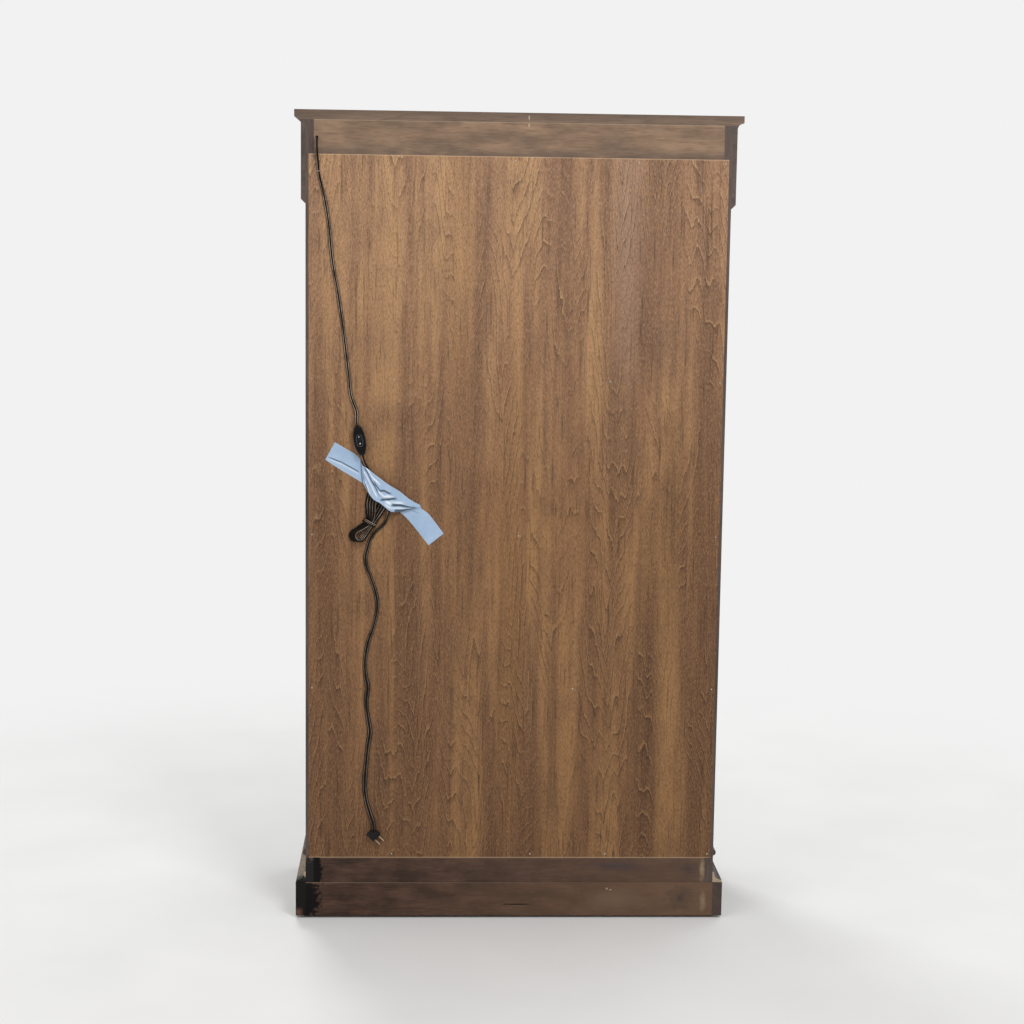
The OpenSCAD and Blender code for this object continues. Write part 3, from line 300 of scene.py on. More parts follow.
# Behind the cord's upper half the grain runs straight, and few flames show.
straight = patch(tree, place, (0.32, 0, 1.45), (0.22, through, 0.36), 0.5, 0.3, 7.0)
calmed = add(tree, "MapRange", straight, 0, 1, 1, 0.4)
shown_rings = add(tree, "Math", shown_rings, calmed, operation="MULTIPLY")
ring_dark = add(tree, "MapRange", add(tree, "Math", ring, 5.0, operation="POWER"), 0.1, 1, 0, 0.68)
ring_pale = add(tree, "MapRange", ring, 0.14, 0.0, 0, 0.62)
for edge, colour in ((ring_dark, "#432e20"), (ring_pale, "#c7a47d")):
    shown = add(tree, "Math", edge, shown_rings, operation="MULTIPLY")
    veneer = add(tree, "Mix", shown, veneer, tint(colour), data_type="RGBA")
# Pores 2 mm wide are drawn coarser than the real ones, which would not show.
pores = grain_noise(tree, turned, 0.0019, 0.0075, 2.0, 0.65)
streaks = grain_noise(tree, turned, 0.005, 0.12, 2.0, 0.6)
veneer = glazed(tree, veneer, (pores, 0.52, 0.7, 0.55, "#4a3526"), (pores, 0.48, 0.3, 0.38, "#cba882"),
                (streaks, 0.58, 0.76, 0.55, "#3a291e"))
# The veneer is painted darker towards the bottom: painted shade, where less light
# falls. The cut edges of the ply show pale.
painted_shade_below = add(tree, "ValToRGB", add(tree, "MapRange", height, 0.149, 1.801, 0, 1),
            stops=[(0, "#c4b7a4"), (1, "#f9f6f6"), (0.5, "#d6cab9"), (0.8, "#f1ebe6")])
veneer = add(tree, "Mix", 1.0, veneer, painted_shade_below, data_type="RGBA", blend_type="MULTIPLY")
for cut_at, inside in ((1.8002, 1.7985), (0.1499, 0.1512)):
    near_cut = add(tree, "MapRange", height, inside, cut_at, 0, 0.7)
    pale = add(tree, "Math", near_cut, pores, operation="MULTIPLY")
    veneer = add(tree, "Mix", pale, veneer, tint("#d9bf9a"), data_type="RGBA")
into(shader, "Base Color", veneer)
into(shader, "Roughness", add(tree, "MapRange", pores, 0.3, 0.7, 0.56, 0.7))
shader.inputs["Specular IOR Level"].default_value = 0.25
into(shader, "Normal", add(tree, "Bump", Strength=0.4, Distance=0.0004,
                           Height=add(tree, "MapRange", pores, 0.4, 0.7, 1, 0)))
dress(panel_finish, "back_panel")

# Nails
# Small nails of bright drawn steel, driven through the panel into the boards and
# shelves behind it. Fine scuffs a millimetre apart break up their shine.


def mottled(name, scale, detail, colours, roughs, spread=(0.3, 0.7), ragged=0.5, **values):
    """A finish whose colour and shine vary over a noise with so many cells to the
    metre. The other values are set on the shader's sockets of those names."""
    finish, tree, shader, place = surface(name)
    noise = add(tree, "TexNoise", place, Scale=scale, Detail=detail, Roughness=ragged)
    colour = add(tree, "ValToRGB", noise, stops=list(zip(spread, colours)))
    into(shader, "Base Color", colour)
    into(shader, "Roughness", add(tree, "MapRange", noise, 0.3, 0.7, *roughs))
    for socket, value in values.items():
        shader.inputs[socket.replace("_", " ")].default_value = value
    return finish, tree, shader, place, colour


steel = mottled("bright_steel_drawn", 900.0, 3.0, ("#a9a6a0", "#d8d5ce"), (0.22, 0.4), Metallic=1)[0]
dress(steel, "panel_nails", "lamp_cans", "door_left_strike", "door_right_strike")

# Face frame, frieze and crown
# The cabinet's show wood: stiles and rails of the face frame, the frieze boards
# nailed over the case, and the crown cap with its cove.
dress(poplar_upright, "face_stile_left", "face_stile_right")
dress(poplar_across, "face_top_rail", "face_bottom_rail", "frieze_front")
dress(poplar_mitred, "crown_moulding")
dress(poplar_deep, "frieze_left", "frieze_right")
# The cap's stain was wiped off again, so it is paler and duller, with a bare chip.
cap_finish, tree, shader, place, wood = stained_board(
    "wiped_poplar_cap", "x", "#7a6555", "#5f4f43", "#43372f", 0.5, 0.25)
chip = ((-0.02, 0.21, 1.889), (0.0018, 0.03, 0.007), 0.7, 0.3, 300.0, bare_wood)
into(shader, "Base Color", marked(tree, place, wood, chip))
dress(cap_finish, "crown_cap")

# Base
# Plinth boards, mitred mouldings and bead of poplar, sprayed with a darker satin
# stain that hides more of the grain, glued to four raw blocks on nylon glides.
base_stain = ("#4d3b33", "#3b2e28", "#251c1a")
base_across, base_deep, base_mitred = [
    stained_board("sprayed_poplar_" + runs, grain, *base_stain, 0.45, 0.4)[0]
    for runs, grain in (("across", "x"), ("front_to_back", "y"), ("mitred", "round"))]
dress(base_across, "plinth_front")
dress(base_mitred, "base_bead")
dress(base_deep, "plinth_left")
# Raw poplar is pale, and nearly without shine.
raw_block = stained_board("raw_poplar_block", "z", "#b79f7d", "#a38a68", "#7d674a", 0.7)[0]
dress(raw_block, "corner_blocks")

# The mouldings' back ends were sawn after staining and show bare wood. The right
# one is painted pale towards the back, as worn finish and as a painted reflection.
moulding_finish, tree, shader, place, wood = stained_board(
    "sprayed_poplar_sawn_end", "round", *base_stain, 0.5, 0.3)
sawn = add(tree, "MapRange", add(tree, "SeparateXYZ", place).outputs["Y"], 0.2008, 0.2014, 0, 1)
bare_and_sheen = add(tree, "ValToRGB", grain_noise(tree, along_grain(tree, place, "y"), 0.002, 0.02, 3.0, 0.65),
           stops=[(0.34, "#85725e"), (0.6, "#b5a185")])
wear_and_sheen = patch(tree, place, (0.52, 0.08, 0.115), (0.06, 0.3, 0.045), 0.9, 0.5, 45.0)
wood = add(tree, "Mix", add(tree, "Math", sawn, wear_and_sheen, operation="MAXIMUM"), wood, bare_and_sheen, data_type="RGBA")
run_down = ((0.5, 0.2, 0.092), (0.02, 0.03, 0.014), 0.3, 0.8, 160.0, stain_black)
into(shader, "Base Color", marked(tree, place, wood, run_down))
dress(moulding_finish, "base_moulding")

# The right plinth's end took the same black run of stain as the side.
corner_finish, tree, shader, place, wood = stained_board(
    "sprayed_poplar_run", "y", *base_stain, 0.5, 0.2)
rubbed_corner = "#5d4033"
wood = marked(tree, place, wood,
              ((0.49, 0.202, 0.05), (0.06, 0.02, 0.065), 0.35, 0.6, 110.0, stain_black),
              ((0.505, 0.202, 0.015), (0.014, 0.01, 0.013), 0.8, 0.3, 90.0, rubbed_corner))
into(shader, "Base Color", wood)
dress(corner_finish, "plinth_right")

# The back board is the least worked: patchy, with a black run of stain at its
# right end, a crack along the grain and rubbed spots.
plinth_behind, tree, shader, place, wood = stained_board(
    "patchy_poplar_plinth", "x", "#543d32", "#32241e", "#211714", 0.6, 0.15, (0.035, 0.08))
across, _, height = add(tree, "SeparateXYZ", place).outputs
wood = glazed(tree, wood, (across, 0.4, -0.4, 0.6, "#775d48"))
wood = marked(tree, place, wood,
              ((0.49, 0, 0.05), (0.042, through, 0.07), 0.3, 0.9, 110.0, stain_black),
              ((0.505, 0, 0.015), (0.012, through, 0.012), 0.8, 0.3, 90.0, rubbed_corner),
              ((-0.25, 0, 0.045), (0.09, through, 0.035), 1.0, 0.3, 30.0, "#6c5746"),
              ((-0.41, 0, 0.05), (0.04, through, 0.035), 1.2, 0.9, 60.0, "#463a34"),
              ((-0.465, 0, 0.04), (0.01, through, 0.03), 1.0, 0.5, 60.0, "#86735c"),
              ((-0.017, 0, 0.034), (0.042, through, 0.0018), 0.5, 0.7, 90.0, "#150f0d"),
              ((-0.233, 0, 0.073), (0.0032, through, 0.0026), 0.5, 0.3, 200.0, "#a39074"),
              ((-0.242, 0, 0.07), (0.0026, through, 0.0022), 0.5, 0.3, 200.0, "#a39074"))
# Its edges are rubbed pale.
wear_and_sheen = add(tree, "Math", add(tree, "MapRange", height, 0.0858, 0.0872, 0, 1),
             add(tree, "MapRange", across, -0.2, 0.5, 0.15, 0.7), operation="MULTIPLY")
wood = add(tree, "Mix", wear_and_sheen, wood, tint("#7a6858"), data_type="RGBA")
into(shader, "Base Color", wood)
dress(plinth_behind, "plinth_back")

# Moulded nylon is waxy, with a soft shine and faint cloudiness.
nylon = mottled("white_nylon_moulded", 220.0, 3.0, ("#d9d7d0", "#eceae4"), (0.35, 0.5))[0]
dress(nylon, "glides")

# Doors
# Two frames of stiles and rails with tenons, glazed and held by stops; knobs,
# butt hinges and catches are brass, steel and black plastic.
dress(poplar_upright, "door_left_stiles", "door_right_stiles", "door_left_stops", "door_right_stops")
dress(poplar_across, "door_left_rails", "door_right_rails")

# Clear float glass is nearly unseen: a shine, broken by a faint smear.
glass, tree, shader, place = surface("float_glass_clear")
smear = add(tree, "TexNoise", place, Scale=9.0, Detail=4.0)
into(shader, "Roughness", add(tree, "MapRange", smear, 0.4, 0.8, 0.0, 0.02))
shader.inputs["Base Color"].default_value = tint("#f6faf8")
shader.inputs["Transmission Weight"].default_value = 1
shader.inputs["IOR"].default_value = 1.5
dress(glass, "door_left_glass", "door_right_glass", "shelf_glass")

# Aged brass is brown and dull where its patina stays, and golden where it is rubbed.
brass = mottled("aged_brass_cast", 160.0, 5.0, ("#6e5634", "#b08d55"), (0.5, 0.28), (0.35, 0.65), 0.65,
                Metallic=1)[0]
dress(brass, "door_left_knob", "door_right_knob", "door_left_hinge_leaves", "door_right_hinge_leaves",
      "frame_hinge_leaves", "hinge_pins")


def moulded_abs(name, blacks=("#0d0d0e", "#161617"), roughs=(0.14, 0.2)):
    """Black ABS from a polished mould: dark and glossy, with a fine grain in its shine."""
    return mottled(name, 1400.0, 2.0, blacks, roughs, Specular_IOR_Level=0.2)


black_plastic = moulded_abs("black_abs_moulded")[0]
dress(black_plastic, "door_catches")

# Lamps
# Two recessed cans of drawn steel under the ceiling board, each with a frosted
# lens and a small bulb; their flat leads run to a white box by the back rail.
# Etched glass scatters the light, so that it looks milky and has a soft shine.
frosted = mottled("frosted_glass_etched", 1600.0, 2.0, ("#dcdcd4", "#f0f0ea"), (0.4, 0.6),
                  Transmission_Weight=0.35)[0]
dress(frosted, "lamp_bulbs", "lamp_lenses")
dress(nylon, "junction_box")

# Flat cord
# Two-wire lamp cord, moulded side by side in brown PVC with a groove between, soft
# and slightly glossy. Where it hangs free, its two wires stretch the web and lie apart.
MM = 0.001
cord_w, cord_t = 6.4, 2.8
back_y = 201.75
cord_pvc, tree, shader, place, pvc = mottled(
    "brown_pvc_moulded", 60.0, 4.0, ("#0a0605", "#150e0a"), (0.24, 0.38), ragged=0.6,
    Specular_IOR_Level=0.15)
# Painted highlights run pale along the crests of the wires, stronger here and weaker there.
crest = add(tree, "Attribute", attribute_name="crest").outputs["Fac"]
highlight_varies = add(tree, "TexNoise", place, Scale=36.0, Detail=2.0)
pale = add(tree, "Math", add(tree, "MapRange", crest, 0.86, 0.96, 0, 0.95),
           add(tree, "MapRange", highlight_varies, 0.38, 0.56, 0.4, 1), operation="MULTIPLY")
into(shader, "Base Color", add(tree, "Mix", pale, pvc, tint("#a8927e"), data_type="RGBA"))


def shape_of(name, points, faces, smooth_below=35):
    """A mesh object, in metres, shaded smooth below an angle."""
    mesh = bpy.data.meshes.new(name)
    mesh.from_pydata([tuple(p) for p in points], [], faces)
    mesh.validate()
    shape = bmesh.new()
    shape.from_mesh(mesh)
    bmesh.ops.recalc_face_normals(shape, faces=shape.faces)
    shape.to_mesh(mesh)
    shape.free()
    for face in mesh.polygons:
        face.use_smooth = True
    mesh.set_sharp_from_angle(angle=math.radians(smooth_below))
    made = bpy.data.objects.new(name, mesh)
    bpy.context.scene.collection.objects.link(made)
    return made


def piece(name, points, faces, finish, body="case"):
    """A piece of the cabinet, with its finish, on its body."""
    made = shape_of(name, points, faces)
    made.data.materials.append(finish)
    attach(made, body)
    return made


def curve_at(points, k):
    """Catmull-Rom curve through points, at point number k, fractions between."""
    i = min(int(k), len(points) - 2)
    t = k - i
    a, b = points[max(0, i - 1)], points[i]
    c, d = points[i + 1], points[min(len(points) - 1, i + 2)]
    return (b + (c - a) * (t / 2) + (a * 2 - b * 5 + c * 4 - d) * (t * t / 2)
            + (b * 3 - a - c * 3 + d) * (t ** 3 / 2))


def smooth_curve(points, step):
    """The same curve, with a point about every step."""
    found = []
    for i in range(len(points) - 1):
        count = max(1, round((points[i + 1] - points[i]).length / step))
        found += [curve_at(points, i + j / count) for j in range(count)]
    return found + [points[-1]]


def cord_section(per_lobe=13, reach=138):
    """Outline of the flat cord: two round lobes and the groove between them."""
    r = cord_t / 2
    lobe = [math.radians(-reach + 2 * reach * i / (per_lobe - 1)) for i in range(per_lobe)]
    half = [(cord_w / 2 - r + r * math.cos(a), r * math.sin(a)) for a in lobe]
    return half + [(-x, -y) for x, y in half]


def loft(rings, closed=False):
    """Points and faces of a skin over rings of points, with caps unless closed."""
    n, m = len(rings[0]), len(rings)
    faces = []
    for i in range(m if closed else m - 1):
        low, high = i * n, (i + 1) % m * n
        faces += [(low + j, low + (j + 1) % n, high + (j + 1) % n, high + j) for j in range(n)]
    if not closed:
        faces += [tuple(range(n)), tuple(range((m - 1) * n, m * n))]
    return [p for ring in rings for p in ring], faces


def sweep(points, section, wide_of, sizes=None):
    """A section swept along points; wide_of gives the direction of the section's
    width from the run of the line, sizes its growth in width and in thickness."""
    rings = []
    for i, p in enumerate(points):
        run = (points[min(len(points) - 1, i + 1)] - points[max(0, i - 1)]).normalized()
        wide = wide_of(run)
        wider, thicker = sizes[i] if sizes else (1, 1)
        rings.append([p + wide * x * wider + run.cross(wide) * y * thicker for x, y in section])
    return loft(rings)


def flat_on_back(run):
    """Width of a cord that lies flat on the panel."""
    return (run.cross(Vector((0, 1, 0))) + 0.02 * (Vector((1, 0, 0)) - run[0] * run)).normalized()


def placed(points, behind=back_y):
    """Points given in millimetres, Y from the back plane, in metres."""
    return [Vector((p[0], p[1] + behind, p[2])) * MM for p in points]


def flat_cord(name, points, wide_of=flat_on_back, behind=back_y, apart=None, wear_and_sheen=0.93):
    """A piece of flat cord along points in millimetres, and its line in metres; apart
    is how far its wires lie from each other at each point; the last value sets the
    painted highlight along their crests where they lie apart."""
    section = cord_section()
    apart = apart or [0] * len(points)
    # Wires that lie apart roll on edge, so they also look thicker, up to a share of 0.45.
    sizes = [(1 + a / cord_w, 1 + min(0.45, a / 5)) for a in apart]
    verts, faces = sweep(points, section, wide_of, sizes)
    made = piece(name, placed(verts, behind), faces, cord_pvc)
    # Side by side, one wire gets a weaker painted highlight than the other.
    weaker_highlight = 0.87
    crests = [abs(y) / (cord_t / 2) * mix(1 if x > 0 else weaker_highlight, wear_and_sheen, share(a, 1))
              for a in apart for x, y in section]
    made.data.attributes.new("crest", "FLOAT", "POINT").data.foreach_set("value", crests)
    return made, placed(points, behind)


def ease(t):
    return t * t * (3 - 2 * t)


def share(value, whole):
    return min(1, max(0, value / whole))


def mix(a, b, t):
    return a + (b - a) * t


def lean(angle):
    """Direction at an angle from +Z towards +X, in degrees."""
    return Vector((math.sin(math.radians(angle)), 0, math.cos(math.radians(angle))))


# The switch hangs in the line, tilted; the cord leaves a hole in the top rail.
cord_clear, cord_lift = 0.3, 0.7
cord_y = cord_clear + cord_t / 2 + cord_lift
switch_l, switch_w, switch_t = 68, 28, 19
switch_tilt = 10
switch_mid = Vector((362, cord_clear + switch_t / 2, 1149))
switch_axis = lean(switch_tilt)
upper_end = switch_mid + switch_axis * switch_l / 2
hank_start = switch_mid - switch_axis * switch_l / 2
hole = Vector((462, 0, 1838))
leaving = [(0, -14, 0), (0, -1, 0), (0, 9, -4), (0, 12, -14), (-1, 8, -38),
           (-3, cord_y, -63), (-6, cord_y, -88)]
down_panel = [(442, 1692), (433, 1630), (426, 1560), (413, 1486), (400, 1397), (388, 1297), (383, 1252)]
upper_route = [hole + Vector(p) for p in leaving] + [Vector((x, cord_y, z)) for x, z in down_panel]
upper_route += [Vector((370, 6, 1215)), upper_end + switch_axis * 12, upper_end]
upper_line = smooth_curve(upper_route, 5)
# Below the staple its wires come apart, by about 2 mm.
parted_z, parted_over = 1742, 60
upper_apart = [ease(share(parted_z - p[2], parted_over)) * (2.2 + 0.6 * math.sin(p[2] / 19))
               for p in upper_line]
upper_cord, upper_path = flat_cord("lamp_cord_upper", upper_line, apart=upper_apart, wear_and_sheen=0.985)
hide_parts("cord_upper")

# Switch
# In-line rocker switch moulded in glossy black plastic: an oval housing with
# rounded edges, a raised lip round the opening and a dished rocker on a pivot.
switch_end_w, rocker_pit, pivot_down, pivot_reach, pivot_r = 13, 9, 3.2, 8, 1.45
switch_x_dir = lean(switch_tilt + 90)
opening_half_w, opening_half_l, lip_out = 6.4, 12.9, 0.5


def oval(half_x, half_y, squareness, count=40, y=0.0):
    """Outline between an ellipse (squareness 2) and a box (higher)."""
    found = []
    for i in range(count):
        a = 2 * math.pi * (i + 0.5) / count
        c, s = math.cos(a), math.sin(a)
        found.append((half_x * math.copysign(abs(c) ** (2 / squareness), c),
                      y + half_y * math.copysign(abs(s) ** (2 / squareness), s)))
    return found


def on_switch(points):
    """Points given across, out of and along the switch, in metres."""
    return placed([switch_mid + switch_x_dir * x + Vector((0, 1, 0)) * y + switch_axis * z
                   for x, y, z in points])


def carve(made, cutter, operation="DIFFERENCE"):
    """Cuts a mesh piece with another shape, or joins them, and removes that shape."""
    knife = made.modifiers.new("carve", "BOOLEAN")
    knife.operation, knife.object, knife.solver = operation, cutter, "EXACT"
    cut = bpy.data.meshes.new_from_object(made.evaluated_get(bpy.context.evaluated_depsgraph_get()))
    made.modifiers.clear()
    made.data = cut
    cut.set_sharp_from_angle(angle=math.radians(40))
    bpy.data.objects.remove(cutter)


sag = (switch_w - switch_end_w) / 2
bow = (switch_l ** 2 / 4 + sag ** 2) / (2 * sag)
half_count, round_from, round_over, round_by = 16, 30, 4, 0.16
rings = []
for i in range(2 * half_count + 1):
    s = switch_l / 2 * math.sin(math.pi / 2 * (i / half_count - 1))
    wide = switch_w / 2 - bow + math.sqrt(bow * bow - s * s)
    rounded = 1 - round_by * max(0, (abs(s) - round_from) / round_over) ** 2
    rings.append([(x, y, s) for x, y in oval(wide * rounded, switch_t / 2 * rounded, 4.5)])
# Black plastic with a mirror-like moulded skin, so that it reads blacker than the
# catches; the lip stands highest, and its top is painted grey as a painted highlight.
lipped_plastic, tree, shader, place, moulded = moulded_abs(
    "black_abs_moulded_lip_highlight", ("#060607", "#0e0e0f"), (0.12, 0.18))
out_of = add(tree, "SeparateXYZ", place).outputs["Y"]
lip_foot, lip_top = [on_switch([(0, switch_t / 2 + rise, 0)])[0][1] for rise in (0.1, 0.45)]
into(shader, "Base Color", glazed(tree, moulded, (out_of, lip_foot, lip_top, 0.9, "#5d6068")))
verts, faces = loft([on_switch(ring) for ring in rings])
housing = piece("switch_housing", verts, faces, lipped_plastic)
opening = [[(x, y, z) for x, z in oval(opening_half_w, opening_half_l, 3.2)]
           for y in (switch_t / 2 - rocker_pit, switch_t)]
carve(housing, shape_of("switch_opening", *loft([on_switch(ring) for ring in opening])))
lip = [[(x, switch_t / 2 + y, z)
        for x, z in oval(opening_half_w + lip_out + r, opening_half_l + lip_out + r, 3)]
       for r, y in ((-0.5, -1), (-0.5, 0.2), (-0.2, 0.55), (0.3, 0.55), (0.7, 0.1), (0.8, -1))]
carve(housing, shape_of("switch_lip", *loft([on_switch(ring) for ring in lip], True)), "UNION")
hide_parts("switch_body")

rocker_half, rocker_half_w, rocker_foot, rocker_low, rocker_square = 12.1, 5.9, 8.7, -2.4, 3.2
horn, dip = pivot_down + 1.6, pivot_down - 0.4
tip = math.radians(-7)
half_count = 12
rings = []
for i in range(2 * half_count + 1):
    s = rocker_half * math.sin(math.pi / 2 * (i / half_count - 1))
    wide = rocker_half_w * max(0.12, 1 - abs(s / rocker_half) ** rocker_square) ** (1 / rocker_square)
    top = dip + (horn - dip) * abs(s / rocker_half) ** 1.6
    low = rocker_low + (top - 0.8 - rocker_low) * share(abs(s) - rocker_foot, rocker_half - rocker_foot)
    ring = oval(wide, (top - low) / 2, 5, 28, (top + low) / 2)
    turned_ring = [(x, y * math.cos(tip) - s * math.sin(tip), y * math.sin(tip) + s * math.cos(tip))
                   for x, y in ring]
    rings.append([(x, y + switch_t / 2 - pivot_down, z) for x, y, z in turned_ring])
verts, faces = loft([on_switch(ring) for ring in rings])
pin = [[(x, switch_t / 2 - pivot_down + y, z) for y, z in oval(pivot_r, pivot_r, 2, 16)]
       for x in (-pivot_reach, pivot_reach)]
# The rocker is of the same plastic; its two white spots near its ends are painted highlights on its dished
# top.
highlighted_plastic, tree, shader, place, moulded = moulded_abs("black_abs_moulded_painted_highlights")
highlight_half_l, highlight_white = 0.0022, "#c9c9c4"
marks = [(tuple(on_switch([(0, switch_t / 2, along)])[0]), (half_w, through, highlight_half_l),
          0.5, 0.2, 900.0, highlight_white) for along, half_w in ((9, 0.0013), (-7, 0.0018))]
into(shader, "Base Color", marked(tree, place, moulded, *marks))
rocker = piece("switch_rocker_tip", verts, faces, highlighted_plastic, body="rocker")
carve(rocker, shape_of("rocker_pin", *loft([on_switch(ring) for ring in pin])), "UNION")
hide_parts("switch_rocker")

# Hank
# The spare cord below the switch, folded by hand into four loops that fan out above
# and below their tie. It is one length of cord with the run to the plug.
waist_at = Vector((338, 0, 957))
upper_lean, lower_lean, lean_change = -14, -45, 20
upper_run, lower_run, upper_r, lower_r = 72, 47, 15.5, 12.6
upper_step, lower_step, waist_step, waist_half = 6.6, 2.6, 3.6, 4.5
spread_run, climb_run, loop_shorter, layer_pitch = 30, 30, 3, 3.45
opening_run = 50
waist_y = 2 * cord_clear + cord_t + 0.4 + cord_t / 2
upper_y = cord_clear + cord_t / 2
hank_turns, run_rings, turn_rings = 4, 5, 7


def hank_lean(s):
    return mix(lower_lean, upper_lean, ease(share(s + lean_change / 2, lean_change)))


def hank_point(s, w, layer):
    """Point at s along the hank's centre line, w to its side, so many layers out."""
    count = max(1, math.ceil(abs(s) / 5))
    on_axis = waist_at + sum((lean(hank_lean((i + 0.5) * s / count)) for i in range(count)),
                             Vector()) * (s / count)
    a = math.radians(hank_lean(s))
    y = mix(waist_y, upper_y, ease(share(s, spread_run)))
    return on_axis + Vector((math.cos(a) * w, y + layer * layer_pitch, -math.sin(a) * w))


def end_s(lobe, t):
    return (upper_run if lobe > 0 else lower_run) - loop_shorter * t


def shift(s, t):
    step = upper_step if s > 0 else lower_step
    return ((hank_turns - 1) / 2 - t) * mix(waist_step, step, ease(share(abs(s), spread_run)))


def half_open(s, t):
    return mix(waist_half, upper_r if s > 0 else lower_r, ease(share(abs(s), min(opening_run, end_s(s, t)))))


def run_point(start, side, t, u):
    s = mix(start * end_s(start, t), -start * end_s(-start, t), u)
    climbed = 0 if side < 0 else ease(share(s + climb_run, 2 * climb_run))
    return hank_point(s, shift(s, t) + side * half_open(s, t), math.floor(t) + climbed)


def turn_point(lobe, t, u):
    r, s = (upper_r if lobe > 0 else lower_r), lobe * end_s(lobe, t)
    w = shift(s, t) + lobe * r * math.cos(math.pi * u)
    return hank_point(s + lobe * r * math.sin(math.pi * u), w, math.floor(t) + (1 if lobe > 0 else 0))


def bezier(a, b, c, d, t):
    return a * (1 - t) ** 3 + b * 3 * t * (1 - t) ** 2 + c * 3 * t * t * (1 - t) + d * t ** 3


# From the switch the cord bends over into the first loop.
into_loop = run_point(1, -1, 0, 0)
leave_straight, pull_down, pull_in, pull_up, bend_count = 5, 46, 5, 34, 9
bend_from = hank_start - switch_axis * leave_straight
pull_from = hank_start - switch_axis * pull_down - Vector((0, pull_in, 0))
pull_to = into_loop + lean(upper_lean) * pull_up
hank_route = [hank_start] + [
    bezier(bend_from, pull_from, pull_to, into_loop, i / bend_count) for i in range(bend_count)]
for turn in range(hank_turns):
    for start, count, of_run in ((0, run_rings, True), (1, turn_rings, False),
                                 (2, run_rings, True), (3, turn_rings, False)):
        lobe = (1, -1, -1, 1)[start]
        side = -1 if start == 0 else 1
        for i in range(count):
            u = i / count
            t = turn + (start + u) / 4
            hank_route.append(run_point(lobe, side, t, u) if of_run else turn_point(lobe, t, u))
last_start = hank_point(end_s(1, hank_turns), shift(upper_run, hank_turns) - upper_r, hank_turns)
last_route = [last_start] + [Vector(p) for p in (
    (294, 14, 986), (297, 9.5, 971), (302, 5, 958), (310, 2.4, 948), (319, 1.7, 940),
    (328, 1.7, 931), (334, 1.7, 921))]
hank_end = last_route[-1]
hank_route += last_route

# Lower cord
# From the hank the same brown cord hangs down the panel to its plug, held only by
# the tie, in the slack waves that a folded cord keeps.
plug_at, plug_turn, plug_t = Vector((325, 0, 207)), 45, 14
plug_half, plug_top, plug_bottom, plug_cut = 12, 14, -10, 11
plug_z_dir = lean(plug_turn)
plug_x_dir = lean(plug_turn + 90)
plug_mid = plug_at + Vector((0, cord_clear + plug_t / 2, 0))
plug_entry = plug_mid + plug_x_dir * (plug_cut / 2 - plug_half) + plug_z_dir * (plug_top - plug_cut / 2)
hank_end_dir = (smooth_curve(last_route, 18)[-1] - smooth_curve(last_route, 18)[-2]).normalized()
waves = [(343, 897), (348, 873), (345, 850), (336, 828), (324, 790), (320, 757), (328, 712), (341, 673),
         (348, 630), (347, 594), (342, 565), (345, 526), (340, 486), (336, 457), (340, 427), (345, 378),
         (348, 328), (344, 289)]
lower_route = [hank_end + hank_end_dir * 7] + [Vector((x, cord_y, z)) for x, z in waves]
lower_route += [Vector((333, 5, 252)), plug_entry + Vector((0, 0, 12)), plug_entry]
cord_step = 4
lower_line = smooth_curve(hank_route + lower_route, cord_step)
# Its wires come apart where it leaves the tie, by about 3 mm, lower down by 5 mm,
# and close again at the plug.
parted_ring, parted_count = len(smooth_curve(hank_route, cord_step)) - 24, 20
closed_z, closed_over, wider_z, wider_over = 175, 70, 700, 150
lower_apart = [ease(share(i - parted_ring, parted_count)) * ease(share(p[2] - closed_z, closed_over))
               * (2.8 + 2 * share(wider_z - p[2], wider_over) + math.sin(p[2] / 17))
               for i, p in enumerate(lower_line)]
lower_cord, lower_path = flat_cord("lamp_cord_hank_and_lower", lower_line, apart=lower_apart)
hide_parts("cord_hank", "cord_lower")

# Tie and staple
# Two turns of the same cord hold the hank at its waist; a bent steel wire staple
# holds the cord under its hole.
tie_axis = lean(hank_lean(0))
tie_across = lean(hank_lean(0) + 90)
tie_low, tie_high, tie_straight, tie_turns, tie_pitch, tie_count = 1.7, 20.4, 7, 2, 6.6, 96
tie_r = (tie_high - tie_low) / 2
tie_line = []
for i in range(tie_count + 1):
    a = math.radians(-90 + 360 * tie_turns * i / tie_count)
    sideways = tie_straight * max(-1, min(1, 2.5 * math.cos(a))) + tie_r * math.cos(a)
    along = tie_pitch * (i / tie_count - 0.5) * tie_turns / 2
    tie_line.append(waist_at + tie_across * sideways + tie_axis * along
                    + Vector((0, tie_low + tie_r + tie_r * math.sin(a), 0)))
tie = flat_cord("hank_tie", tie_line, lambda run: (tie_axis - run * tie_axis.dot(run)).normalized())[0]
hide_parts("cord_ties")
staple_at, wire_r = Vector((457.5, 0, 1762)), 0.75
staple_line = smooth_curve([staple_at + Vector((x, y, 0)) for x, y in (
    (-4.1, -3.5), (-4.1, 3), (-3.7, 4.3), (-2.4, 4.7), (2.4, 4.7), (3.7, 4.3), (4.1, 3), (4.1, -3.5))], 0.6)
verts, faces = sweep(staple_line, oval(wire_r, wire_r, 2, 10), lambda run: Vector((0, 0, 1)))
staple = piece("wire_staple", placed(verts), faces, steel)
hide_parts("cord_ties")

# Plug
# Flat plug moulded in black plastic, one corner cut off where the cord enters,
# with two blades of folded brass strip.


def on_plug(points):
    """Points given across, out of and along the plug, in metres."""
    return placed([plug_mid + plug_x_dir * x + Vector((0, 1, 0)) * y + plug_z_dir * z
                   for x, y, z in points])


